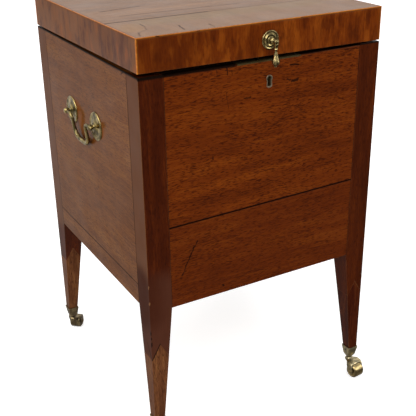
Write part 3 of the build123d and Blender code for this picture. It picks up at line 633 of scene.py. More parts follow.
def softened(profile: Profile, radius: float, steps: int = 3) -> Profile:
    """Rounds the inner corners of a profile.

    Args:
        profile: points of radius and height.
        radius: the most that a corner is cut back along its sides.
        steps: points on each rounded corner.

    Returns:
        The new profile.
    """
    soft = [profile[0]]
    for before, here, after in zip(profile, profile[1:], profile[2:]):
        a, b, c = Vector(before), Vector(here), Vector(after)
        cut = min(radius, (a - b).length * 0.45, (c - b).length * 0.45)
        start = b + (a - b).normalized() * cut
        end = b + (c - b).normalized() * cut
        for step in range(steps + 1):
            share = step / steps
            point = start * (1 - share) ** 2 + b * (2 * share * (1 - share)) + end * share ** 2
            soft.append((point.x, point.y))
    return soft + [profile[-1]]


def turned(name: str, profile: Profile, place: Matrix, radius: float = 0.5, count: int = 56,
           closed: bool = False) -> Piece:
    """A turned piece about its own +Z.

    Args:
        name: the piece's name.
        profile: points of radius and height from one end of the axis to the other.
        place: where its axis goes, in millimetres.
        radius: rounding of the profile's corners.
        count: points round the piece.
        closed: whether the profile is a loop, of a piece with a bore.

    Returns:
        The object.
    """
    work = bmesh.new()
    rings = []
    for r, z in softened(profile, radius):
        r = max(r, 0.02)
        angles = [2 * math.pi * i / count for i in range(count)]
        rings.append([work.verts.new((r * math.cos(a), r * math.sin(a), z)) for a in angles])
    return placed(name, work, rings, place, closed)


def rounded_ring(work: Work, half_x: float, half_y: float, corner: float, z: float,
                 steps: int = 4) -> Ring:
    """A level ring in the shape of a rectangle with round corners.

    Args:
        work: the mesh to draw in.
        half_x: half its size along X.
        half_y: half its size along Y.
        corner: its corners' radius.
        z: its height.
        steps: parts of each corner.

    Returns:
        Its points in order.
    """
    corner = min(corner, half_x, half_y)
    points = []
    for quarter, (sx, sy) in enumerate([(1, 1), (-1, 1), (-1, -1), (1, -1)]):
        for step in range(steps + 1):
            angle = math.pi / 2 * (quarter + step / steps)
            x = sx * (half_x - corner) + corner * math.cos(angle)
            y = sy * (half_y - corner) + corner * math.sin(angle)
            points.append(work.verts.new((x, y, z)))
    return points


def stacked(name: str, sections: list[tuple[float, float, float, float]], place: Matrix) -> Piece:
    """A piece skinned over level rings; each section is half X, half Y, corner radius and height."""
    work = bmesh.new()
    return placed(name, work, [rounded_ring(work, *section) for section in sections], place)


def slab(name: str, plan: Profile, low: float, high: float, place: Matrix) -> Piece:
    """A flat piece with a drawn plan, between two heights."""
    work = bmesh.new()
    return placed(name, work, [[work.verts.new((x, y, z)) for x, y in plan] for z in (low, high)], place)


def shape_with(piece: Piece, other: Piece, operation: str) -> None:
    """Cuts, joins or keeps the shared part of two pieces.

    Args:
        piece: the one that stays.
        other: the one that is used up.
        operation: DIFFERENCE, UNION or INTERSECT.
    """
    change = piece.modifiers.new("shape", "BOOLEAN")
    change.operation = operation
    change.solver = "EXACT"
    change.object = other
    settle(piece)
    bpy.data.objects.remove(other)


def settle(piece: Piece) -> None:
    """Applies all the modifiers of a piece to its mesh.

    Args:
        piece: the object.
    """
    shaped = piece.evaluated_get(bpy.context.evaluated_depsgraph_get())
    mesh = bpy.data.meshes.new_from_object(shaped)
    piece.modifiers.clear()
    piece.data = mesh


def keep_flats(piece: Piece) -> None:
    """Lets flat faces be shaded flat beside round ones."""
    piece.modifiers.new("flat faces", "WEIGHTED_NORMAL").keep_sharp = True


def ease_edges(piece: Piece, width: float) -> None:
    """Rounds the sharp edges of a piece a little.

    Args:
        piece: the object.
        width: how much of each side goes, in millimetres.
    """
    weld = piece.modifiers.new("weld", "WELD")
    weld.merge_threshold = 0.00001
    bevel = piece.modifiers.new("eased edges", "BEVEL")
    bevel.width = width * MM
    bevel.segments = 2
    bevel.limit_method = "ANGLE"
    bevel.angle_limit = math.radians(32.0)
    bevel.harden_normals = True
    keep_flats(piece)


def dress(piece: Piece, body: str, slot: str, material: Finish, *nodes: str) -> None:
    """Finishes a new piece and lets it ride.

    Args:
        piece: the object.
        body: the CAD body that it moves with.
        slot: not used.
        material: its finish.
        nodes: the CAD nodes that it stands for.
    """
    piece.data.materials.clear()
    piece.data.materials.append(material)
    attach(piece, body)
    if nodes:
        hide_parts(*nodes)
    log.info("piece %s rides on %s", piece.name, body)


def finish_node(name: str, material: Finish, ease: float) -> None:
    """Gives a CAD node its finish and eases its edges.

    Args:
        name: the node.
        material: its finish.
        ease: how much of each side of an edge goes, in millimetres.
    """
    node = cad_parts[name]
    for face in node.data.polygons:
        face.use_smooth = False
    node.data.materials.clear()
    node.data.materials.append(material)
    ease_edges(node, ease)
    log.info("node %s in %s", name, material.name)


@dataclass(frozen=True)
class Screw:
    """A countersunk screw with a straight slot, seen from its head."""

    radius: float = 2.4
    dome: float = 0.35
    slot_width: float = 0.7
    slot_depth: float = 0.6
    sunk: float = 1.2

    def head(self, name: str, place: Matrix, turn: float) -> Piece:
        """Makes the head.

        Args:
            name: the piece's name.
            place: the surface that it is let into, facing outward.
            turn: the slot's angle in degrees.

        Returns:
            The object.
        """
        place = place @ spin(turn, "Z")
        profile = [(0.0, -self.sunk), (self.radius * 0.6, -self.sunk), (self.radius, 0.0),
                   (self.radius * 0.6, self.dome * 0.8), (0.0, self.dome)]
        piece = turned(name, profile, place, 0.3, 24)
        half = self.slot_width / 2
        long = self.radius + 1
        plan = [(-long, -half), (long, -half), (long, half), (-long, half)]
        cutter = slab("slot", plan, self.dome - self.slot_depth, 3.0, place)
        shape_with(piece, cutter, "DIFFERENCE")
        for face in piece.data.polygons:
            face.use_smooth = False
        return piece


# The finishes

AGED_BRASS = Metal("aged brass", (0.5, 0.38, 0.16), (0.21, 0.165, 0.075), tarnish=0.5, roughness=0.2,
                   dull_roughness=0.42, cloud_size=12.0, relief=0.008)
LOCK_BRASS = Metal("lock brass", (0.32, 0.24, 0.1), (0.15, 0.115, 0.05), tarnish=0.5, roughness=0.35,
                   dull_roughness=0.5, grime_and_shade=0.3, relief=0.01)
DARK_BRASS = Metal("blackened brass", (0.09, 0.07, 0.035), (0.02, 0.016, 0.01), tarnish=0.7, roughness=0.45,
                   dull_roughness=0.6)
CASTOR_BRASS = Metal("castor brass", (0.58, 0.47, 0.26), (0.27, 0.235, 0.15), tarnish=0.6, roughness=0.27,
                     dull_roughness=0.46, cloud_size=8.0, relief=0.02)
ROLLER_BRASS = Metal("roller brass", (0.56, 0.42, 0.19), (0.27, 0.205, 0.1), tarnish=0.4, roughness=0.27,
                     dull_roughness=0.42, cloud_size=5.0, relief=0.03)
THREAD_BRASS = Metal("inlaid brass", (0.62, 0.52, 0.36), (0.42, 0.34, 0.22), tarnish=0.4, roughness=0.38,
                     dull_roughness=0.5, cloud_size=4.0, grime_and_shade=0.0, relief=0.01)
SHEET_LEAD = Metal("sheet lead", (0.25, 0.26, 0.275), (0.35, 0.35, 0.345), tarnish=0.5, roughness=0.5,
                   dull_roughness=0.7, cloud_size=45.0, relief=0.5, wear_and_glint=0.3, metallic=0.75)
HANDLE_BRASS = replace(AGED_BRASS, name="handle brass", bright=(0.42, 0.31, 0.12),
                       dull=(0.12, 0.095, 0.042))
# Painted shade: a darker copy of the castor brass, for the back-left castor.
SHADED_CASTOR_BRASS = replace(CASTOR_BRASS, name="shaded castor brass", bright=(0.3, 0.23, 0.12),
                      dull=(0.12, 0.085, 0.05))
# Nearly black: dark old steel for the cup screws, darkened further as painted shade of the screw holes.
CUP_SCREW_STEEL_AND_SHADE = Metal("cup screw steel and recess shade", (0.05, 0.04, 0.03), (0.015, 0.012, 0.01), roughness=0.5)
DARK_STEEL = Metal("dark steel", (0.36, 0.34, 0.31), (0.09, 0.06, 0.045), tarnish=0.55, roughness=0.3,
                   dull_roughness=0.6, cloud_size=4.0)

FACE = 216.0
EDGE = 176.0
CASE_TOP = 651.0
LID_TOP = 707.1
THREAD_TOP = 213.7
THREAD_FOOT = 704.9


def on_front(x: float, z: float) -> Point:
    """A place on the case's front."""
    return (x, -FACE, z)


def on_left(y: float, z: float) -> Point:
    """A place on the case's left side."""
    return (-FACE, y, z)


def on_right(y: float, z: float) -> Point:
    """A place on the case's right side."""
    return (FACE, y, z)


def on_top(x: float, y: float) -> Point:
    """A place on the lid's top."""
    return (x, y, LID_TOP)


def marks(place: Callable[[float, float], Point], rows: Iterable[tuple[float, ...]],
          **settings: object) -> tuple[Stroke, ...]:
    """Marks on one face.

    Args:
        place: gives the place of two measures on the face.
        rows: where each mark starts and ends, four numbers, then its width, its strength and whether it is
            exact.
        settings: what the marks share.

    Returns:
        The strokes, in the same order.
    """
    return tuple(Stroke(place(*row[:2]), place(*row[2:4]), *row[4:], **settings) for row in rows)


def thread_sides() -> tuple[Stroke, ...]:
    """The dark lines beside the boxwood lines of the lid.

    Returns:
        The strokes.
    """
    lines = []
    for sign in (-1, 1):
        for face, level in ((THREAD_TOP, LID_TOP), (FACE, THREAD_FOOT)):
            lines.append(((-THREAD_TOP, sign * face, level), (THREAD_TOP, sign * face, level)))
            lines.append(((sign * face, -THREAD_TOP, level), (sign * face, THREAD_TOP, level)))
        lines.append((on_front(sign * THREAD_TOP, THREAD_FOOT), on_front(sign * THREAD_TOP, 653.0)))
    return tuple(Stroke(start, end, 1.5, 0.9, True, (0.08, 0.022, 0.004)) for start, end in lines)


# Painted shade of the gap under the lid: a near-black band along the top of the case front, wider at the
# left.
LID_GAP_SHADE = marks(on_front, (
    (-FACE, 650.0, -60.0, 649.5, 4.6, 1.0, True), (-60.0, 650.5, 80.0, 650.5, 3.4, 1.0, True),
    (80.0, 650.0, FACE, CASE_TOP, 2.6, 1.0, True)))
# Painted shade: the top edge of the front board is darkened inside the gap under the lid.
BOARD_TOP_SHADE = (Stroke((-EDGE, -208.5, 649.5), (EDGE, -208.5, 649.5), 9.6, 1.0, True),)
# The front: painted shade of the lid gap, then joints, cracks and scratches.
FRONT_MARKS = LID_GAP_SHADE + BOARD_TOP_SHADE + marks(on_front, (
    (-EDGE, 410.0, EDGE, 416.6, 2.1, 1.0, True), (144.0, 644.9, EDGE, 645.4, 1.2, 0.8),
    (-EDGE, 269.0, -EDGE, CASE_TOP, 0.9, 0.6, True), (EDGE, 269.0, EDGE, CASE_TOP, 1.2, 0.75, True),
    (42.0, 635.8, 57.0, 634.8, 2.4, 0.9), (36.0, 613.5, 42.0, 612.0, 1.6, 0.8),
    (45.0, 609.5, 56.0, 610.0, 3.0, 0.9), (-41.0, 595.8, -31.0, 594.6, 1.9, 0.8),
    (-88.7, 645.0, -88.7, 638.0, 1.3, 0.85), (-72.0, 647.0, -71.0, 636.0, 1.5, 0.85),
    (-62.0, 641.0, -63.0, 634.0, 1.1, 0.7), (-74.0, 610.0, -68.0, 575.0, 1.0, 0.55),
    (-97.3, 511.0, -97.3, 508.0, 1.8, 0.8), (-81.4, 284.0, -80.0, 281.0, 2.4, 0.95),
    (-128.0, 376.6, -149.0, 338.0, 1.7, 0.95), (-149.0, 338.0, -158.7, 315.0, 1.3, 0.8)))
# The first row is painted shade of the gap under the lid; the rest are joints and cracks.
SIDE_ROWS = (
    (-FACE, CASE_TOP, FACE, CASE_TOP, 3.4, 1.0, True), (-EDGE, 304.6, EDGE, 304.6, 1.3, 0.85, True),
    (-EDGE, 200.0, -EDGE, CASE_TOP, 1.2, 0.75, True), (EDGE, 200.0, EDGE, CASE_TOP, 1.2, 0.7, True),
    (EDGE, 443.0, 105.0, 443.6, 0.8, 0.85), (-166.0, 650.0, -160.0, 646.0, 2.0, 0.8))
SIDE_MARKS = marks(on_left, SIDE_ROWS) + marks(on_right, SIDE_ROWS)
# Painted shadow and dark reflection of each side handle: a saturated brown patch beside each rose.
HANDLE_SHADOW_ROWS = ((37.0, 545.0, 29.0, 520.0, 17.0, 0.75), (-70.0, 532.0, -68.0, 527.0, 12.0, 0.75))
HANDLE_SHADOW_BROWN = (0.15, 0.045, 0.007)
HANDLE_SHADOWS = (marks(on_left, HANDLE_SHADOW_ROWS, colour=HANDLE_SHADOW_BROWN)
                 + marks(on_right, HANDLE_SHADOW_ROWS, colour=HANDLE_SHADOW_BROWN))
SCARF_MARKS = (marks(on_front, ((-215.5, 181.0, -200.3, 207.5, 1.3, 0.95, True),))
               + marks(on_left, ((-215.5, 181.0, -200.3, 207.5, 1.1, 0.8, True),)))
LEG_DENTS = marks(on_front, (
    (-FACE, 236.0, -FACE, 231.0, 2.4, 0.95), (-FACE, 224.0, -FACE, 221.0, 2.0, 0.9),
    (-FACE, 214.0, -FACE, 207.0, 2.4, 0.95)))
LEG_CHIPS = marks(on_front, ((-FACE, 289.0, -FACE, 286.0, 1.6, 0.6),
                             (-FACE, 318.0, -FACE, 315.0, 1.4, 0.6)), colour=(0.25, 0.12, 0.05))
LEG_MARKS = SCARF_MARKS + LEG_DENTS + LEG_CHIPS
# The first patch lays a lighter, greyer brown over the front of the front-left leg up to about 292 mm; the
# second is painted shade, a dark red patch on that leg's left face around the case's lower edge.
LEG_PATCHES = (marks(on_front, ((-192.0, 60.0, -192.0, 292.0, 60.0, 0.8),), colour=(0.066, 0.021, 0.0105))
          + marks(on_left, ((-190.0, 262.0, -190.0, 312.0, 46.0, 0.85),), colour=(0.035, 0.006, 0.001)))
TOP_CRACKS = marks(on_top, (
    (-213.0, -101.0, -40.0, -101.0, 3.4, 0.9, True), (-40.0, -101.0, 213.0, -101.0, 2.4, 0.6, True),
    (-170.0, -130.0, -171.0, -150.0, 1.6, 0.9), (-171.0, -150.0, -178.0, -172.0, 1.4, 0.65),
    (-178.0, -172.0, -197.0, -184.0, 2.2, 0.4), (-197.0, -184.0, -204.0, -206.0, 2.0, 0.65),
    (-126.0, -170.0, -133.0, -200.0, 2.0, 0.95), (-84.5, -185.0, -86.7, -208.0, 1.8, 0.9),
    (-170.0, -60.0, 40.0, -66.0, 4.0, 0.45), (-182.0, -10.0, -110.0, 2.0, 4.2, 0.6),
    (-120.0, 80.0, 120.0, 76.0, 4.6, 0.4)), colour=(0.03, 0.012, 0.006))
TOP_MARKS = (marks(on_top, ((-150.0, -124.0, 140.0, -124.0, 34.0, 0.3),), colour=(0.2, 0.155, 0.09))
             + marks(on_top, ((-186.0, -138.0, -196.0, -160.0, 26.0, 0.35),), colour=(0.24, 0.13, 0.05))
             + TOP_CRACKS)
EDGE_MARKS = marks(on_top, ((-215.0, 27.0, -213.0, 27.0, 2.4, 0.9),)) + marks(on_front, (
    (-185.0, 706.0, -181.0, 706.0, 1.6, 0.8), (-120.0, 706.0, -117.0, 706.0, 1.4, 0.7),
    (60.0, 706.0, 64.0, 706.0, 1.3, 0.7)))


class Woods:
    """The wooden finishes of the cellarette, built once."""

    def __init__(self) -> None:
        """Builds every one of them."""
        self.front = Wood("front mahogany", Grain.ACROSS, (0.045, 0.006, 0.0005), (0.11, 0.0185, 0.001),
                          (0.18, 0.038, 0.002), ribbon=(210.0, 20.0), contrast=1.7, pores=0.8,
                          pore_width=0.95, strokes=FRONT_MARKS).build()
        self.front_low = Wood("lower front mahogany", Grain.ACROSS, (0.045, 0.006, 0.0006),
                              (0.09, 0.0145, 0.001), (0.145, 0.03, 0.002), ribbon=(210.0, 24.0),
                              contrast=1.7, pores=0.7, pore_width=0.95, offset=(0.0, 90.0, 40.0),
                              strokes=FRONT_MARKS).build()
        side = Wood("side mahogany", Grain.DEEP, (0.06, 0.015, 0.002), (0.122, 0.036, 0.004),
                    (0.185, 0.066, 0.009), ribbon=(180.0, 22.0), pores=0.5, contrast=1.7, pore_width=0.95,
                    polish=0.32, offset=(31.0, 7.0, 0.0), strokes=SIDE_MARKS + HANDLE_SHADOWS)
        self.side = side.build()
        self.back = replace(side, name="back mahogany", grain=Grain.ACROSS, strokes=()).build()
        stile = Wood("stile mahogany", Grain.UPRIGHT, (0.022, 0.003, 0.0005), (0.056, 0.009, 0.001),
                     (0.095, 0.017, 0.0016), ribbon=(240.0, 18.0), pores=0.4, contrast=1.8, polish=0.3,
                     painted_side_light=(0.1, 0.029, 0.003), offset=(0.0, 50.0, 11.0),
                     strokes=LID_GAP_SHADE + SIDE_MARKS)
        self.stile = stile.build()
        # A darker copy of the stile finish for the front-left leg, carrying the leg patches, the painted
        # gap shade and the splice marks.
        self.stile_left = replace(stile, name="scuffed stile mahogany", middle=(0.046, 0.007, 0.001),
                                  strokes=LEG_PATCHES + stile.strokes + LEG_MARKS).build()
        self.tip_dark = Wood("dark leg end mahogany", Grain.UPRIGHT, (0.02, 0.002, 0.0005),
                             (0.045, 0.0065, 0.001), (0.09, 0.02, 0.004), ribbon=(120.0, 9.0), pores=0.5,
                             polish=0.3, wear_and_glint=0.9).build()
        self.tip = Wood("leg end mahogany", Grain.UPRIGHT, (0.045, 0.01, 0.002), (0.115, 0.037, 0.011),
                        (0.19, 0.075, 0.02), ribbon=(120.0, 9.0), pores=0.5, polish=0.3, wear_and_glint=0.9,
                        strokes=SCARF_MARKS).build()
        self.rim = Wood("cross-grained veneer", Grain.UPRIGHT, (0.05, 0.0075, 0.0006),
                        (0.122, 0.0215, 0.001), (0.215, 0.05, 0.003), ribbon=(260.0, 24.0),
                        streak_width=3.0, contrast=1.5, pores=0.3, patch_length=52.0,
                        painted_side_light=(0.135, 0.046, 0.007)).build()
        self.top_front = Wood("front strip veneer", Grain.DEEP, (0.09, 0.034, 0.007), (0.155, 0.062, 0.014),
                              (0.21, 0.094, 0.027), ribbon=(160.0, 26.0), contrast=1.2, pores=0.2,
                              strokes=TOP_MARKS).build()
        self.top = Wood("top veneer", Grain.ACROSS, (0.082, 0.031, 0.006), (0.148, 0.057, 0.012),
                        (0.21, 0.086, 0.02), ribbon=(260.0, 26.0), pores=0.3, strokes=TOP_MARKS).build()
        self.boxwood = Wood("boxwood", Grain.ACROSS, (0.22, 0.055, 0.004), (0.37, 0.105, 0.008),
                            (0.5, 0.18, 0.018), ribbon=(60.0, 5.0), pores=0.1, wear_colour=(0.5, 0.2, 0.03),
                            strokes=thread_sides() + EDGE_MARKS).build()
        # Painted shade: the lip under the lid is made nearly black, so the gap between lid and case reads
        # as deep shade.
        self.lip = Wood("lip mahogany darkened as gap shade", Grain.ACROSS, (0.004, 0.002, 0.001), (0.012, 0.005, 0.002),
                        (0.025, 0.011, 0.005), ribbon=(90.0, 5.0), polish=0.0, roughness=0.7).build()
        self.inner = Wood("bare inner wood", Grain.ACROSS, (0.14, 0.07, 0.03), (0.27, 0.15, 0.07),
                          (0.38, 0.23, 0.12), ribbon=(120.0, 12.0), pores=0.4, polish=0.0,
                          roughness=0.72, relief=0.12).build()
        self.core = Wood("lid core", Grain.ACROSS, (0.08, 0.03, 0.012), (0.16, 0.07, 0.028),
                         (0.24, 0.12, 0.055), ribbon=(150.0, 14.0), pores=0.5, polish=0.15,
                         roughness=0.6).build()


class Carcass:
    """Boards, stiles and spliced legs of the case."""

    def __init__(self, woods: Woods) -> None:
        """Keeps the finishes."""
        self.woods = woods

    def build(self) -> None:
        """Dresses the CAD's boards and legs."""
        finish_node("front_board_upper", self.woods.front, 0.35)
        finish_node("front_board_lower", self.woods.front_low, 0.35)
        finish_node("back_board", self.woods.back, 0.35)
        for side in ("left", "right"):
            for part in ("upper", "lower"):
                finish_node(f"{side}_board_{part}", self.woods.side, 0.35)
            for end in ("front", "back"):
                front_left_leg = (end, side) == ("front", "left")
                stile = self.woods.stile_left if front_left_leg else self.woods.stile
                finish_node(f"upper_leg_{end}_{side}", stile, 0.6)
                tip = self.woods.tip if side == "left" else self.woods.tip_dark
                finish_node(f"leg_tip_{end}_{side}", tip, 0.5)


class Cellar:
    """Lead lining, bottom and bottle dividers inside the case."""

    def __init__(self, woods: Woods) -> None:
        """Keeps the finishes."""
        self.woods = woods

    def build(self) -> None:
        """Dresses the CAD's inner pieces."""
        finish_node("lead_lining", SHEET_LEAD.build(), 0.7)
        for name in ("bottom_board", "bottom_ledgers", "bottle_dividers_crosswise",
                     "bottle_dividers_lengthwise"):
            finish_node(name, self.woods.inner, 0.5)
        # The lip's near-black finish is painted shade of the gap under the lid.
        finish_node("top_lip", self.woods.lip, 0.4)


class Lid:
    """Rims, top, veneers and boxwood lines of the lid."""

    def __init__(self, woods: Woods) -> None:
        """Keeps the finishes."""
        self.woods = woods

    def build(self) -> None:
        """Dresses the CAD's lid."""
        finish_node("lid_top_board", self.woods.core, 0.3)
        for side in ("front", "back", "left", "right"):
            finish_node("lid_rim_" + side, self.woods.core, 0.3)
        finish_node("lid_rim_veneers", self.woods.rim, 0.15)
        finish_node("lid_front_veneer", self.woods.top_front, 0.2)
        finish_node("lid_field_veneer", self.woods.top, 0.2)
        finish_node("lid_stringing", self.woods.boxwood, 0.45)


@dataclass
class Fittings:
    """Hinges, lock and link plate, with their screws."""

    brass: Finish
    steel: Finish
    hinge_centres: tuple[float, float] = (-120.0, 120.0)
    hinge_screws: tuple[float, ...] = (-18.0, 0.0, 18.0)
    hinge_screw_y: float = 208.5
    case_top: float = CASE_TOP
    front_top: float = 649.0
    lid_bottom: float = 653.4
    lock_x: float = 3.6
    lock_y: float = -205.8
    lock_screw_setback: float = -2.8
    lock_screw_reach: float = 49.0
    link_screw_reach: float = 25.0
    link_thickness: float = 2.0
    screw: Screw = field(default_factory=Screw)

    def build(self) -> None:
        """Dresses the CAD's fittings and adds the screws."""
        thread = THREAD_BRASS.build()
        lock = LOCK_BRASS.build()
        dark = DARK_BRASS.build()
        for name, finish in (("hinge_leaves_case", self.brass), ("hinge_leaves_lid", self.brass),
                             ("lock_link_plate", dark), ("lock_case", lock), ("lock_bolt", dark)):
            finish_node(name, finish, 0.2)
        finish_node("keyhole_escutcheon", thread, 0.3)
        finish_node("hinge_pins", self.steel, 0.2)
        finish_node("handle_nuts", self.steel, 0.3)
        number = 0
        for centre in self.hinge_centres:
            for along in self.hinge_screws:
                number += 1
                x = centre + along
                low = Facing.UP.at(x, self.hinge_screw_y, self.case_top)
                high = Facing.DOWN.at(x, self.hinge_screw_y, self.lid_bottom)
                self.add_screw(f"hinge_screw_case_{number}", low, 37.0 * number, "case")
                self.add_screw(f"hinge_screw_lid_{number}", high, 53.0 * number, "lid")
        link_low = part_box("lock_link_plate")[1].z / MM - self.link_thickness
        for number, side in enumerate((-1, 1)):
            top = Facing.UP.at(self.lock_x + side * self.lock_screw_reach,
                               self.lock_y + self.lock_screw_setback, self.front_top)
            self.add_screw(f"selvedge_screw_{number}", top, 20.0 + 50.0 * number, "case")
            under = Facing.DOWN.at(self.lock_x + side * self.link_screw_reach, self.lock_y, link_low)
            self.add_screw(f"link_screw_{number}", under, 75.0 - 40.0 * number, "lid")

    def add_screw(self, name: str, place: Matrix, turn: float, body: str) -> None:
        """Adds one steel screw."""
        dress(self.screw.head(name, place, turn), body, "steel", self.steel)


@dataclass
class DropPull:
    """Turned rose, beaded post and pear drop on the front of the lid, in millimetres."""

    brass: Finish
    x: float = 3.6
    y: float = -FACE
    z: float = 678.7
    reach: float = 15.5
    tongue_half: float = 1.5
    tongue_radius: float = 2.7
    ear_inner: float = 1.7
    ear_outer: float = 3.4
    pin_radius: float = 1.0

    def build(self) -> None:
        """Makes the three pieces."""
        place = Facing.FRONT.at(self.x, self.y, self.z)
        dress(self.rose(place), "lid", "fittings_brass", self.brass, "pull_rose")
        dress(self.post(place), "lid", "fittings_brass", self.brass, "pull_post")
        hang = shift(self.x, self.y - self.reach, self.z)
        dress(self.drop(hang), "pull_drop", "fittings_brass", self.brass, "pull_drop")

    def rose(self, place: Matrix) -> Piece:
        """Backplate with two rings round a hollow.

        Args:
            place: the lid's front at the pull.

        Returns:
            The object.
        """
        profile = [(0.0, 0.0), (14.75, 0.0), (14.75, 0.9), (14.0, 1.7), (12.8, 1.8), (11.8, 1.0),
                   (10.6, 0.9), (9.8, 2.1), (8.6, 2.8), (7.4, 2.2), (6.4, 1.3), (5.2, 1.4), (4.2, 2.6),
                   (0.0, 2.8)]
        return turned("pull_rose_turned", profile, place, 0.6)

    def post(self, place: Matrix) -> Piece:
        """Beaded post with a flat bored tongue.

        Args:
            place: the lid's front at the pull.

        Returns:
            The object.
        """
        profile = [(0.0, -19.4), (3.4, -19.4), (3.2, -18.0), (1.6, -18.0), (1.6, 2.7), (2.4, 2.8),
                   (3.6, 3.8), (4.4, 5.6), (4.2, 7.6), (3.0, 9.2), (2.2, 10.0), (2.4, 11.0), (0.0, 11.6)]
        post = turned("pull_post_turned", profile, place, 0.7)
        sections = [(self.tongue_half * 1.1, 2.4, 1.0, 10.0), (self.tongue_half, 2.6, 0.6, 12.0),
                    (self.tongue_half, self.tongue_radius, 0.6, 14.2),
                    (self.tongue_half, self.tongue_radius, 0.6, 16.0),
                    (self.tongue_half, self.tongue_radius * 0.8, 0.6, 17.3),
                    (self.tongue_half * 0.8, self.tongue_radius * 0.35, 0.4, 18.15)]
        tongue = stacked("tongue", sections, place)
        shape_with(post, tongue, "UNION")
        return post

    def drop(self, place: Matrix) -> Piece:
        """Pear hanging from a fork with two ears and a pin.

        Args:
            place: the pin's middle.

        Returns:
            The object.
        """
        profile = [(0.0, -9.0), (2.0, -9.0), (2.4, -10.3), (3.0, -11.2), (2.2, -12.2), (1.7, -13.2),
                   (2.1, -15.6), (3.1, -20.0), (4.5, -25.0), (5.8, -29.0), (6.1, -31.4), (5.5, -33.6),
                   (3.6, -35.4), (1.7, -36.1), (1.5, -36.6), (2.1, -37.2), (1.5, -38.1), (0.0, -38.2)]
        pear = turned("pull_drop_turned", profile, place, 0.9)
        sections = [(2.0, 1.9, 0.8, -10.4), (2.5, 2.1, 0.8, -8.2), (3.3, 2.5, 0.8, -5.2),
                    (self.ear_outer, 2.8, 0.7, -2.6), (self.ear_outer, 2.9, 0.6, 0.0),
                    (self.ear_outer, 2.5, 0.6, 1.6), (self.ear_outer * 0.95, 1.3, 0.5, 2.65)]
        fork = stacked("fork", sections, place)
        inner = self.ear_inner
        gap = stacked("gap", [(inner * 0.5, 6.0, 0.1, -4.0), (inner, 6.0, 0.1, -3.3),
                              (inner, 6.0, 0.1, 5.0)], place)
        shape_with(fork, gap, "DIFFERENCE")
        across = place @ spin(90.0, "Y")
        pin_half = self.ear_outer + 0.35
        pin_radius = self.pin_radius
        pin = turned("pin", [(0.0, -pin_half), (pin_radius, -pin_half + 0.3), (pin_radius, pin_half - 0.3),
                             (0.0, pin_half)], across, 0.2, 24)
        shape_with(fork, pin, "UNION")
        shape_with(pear, fork, "UNION")
        return pear


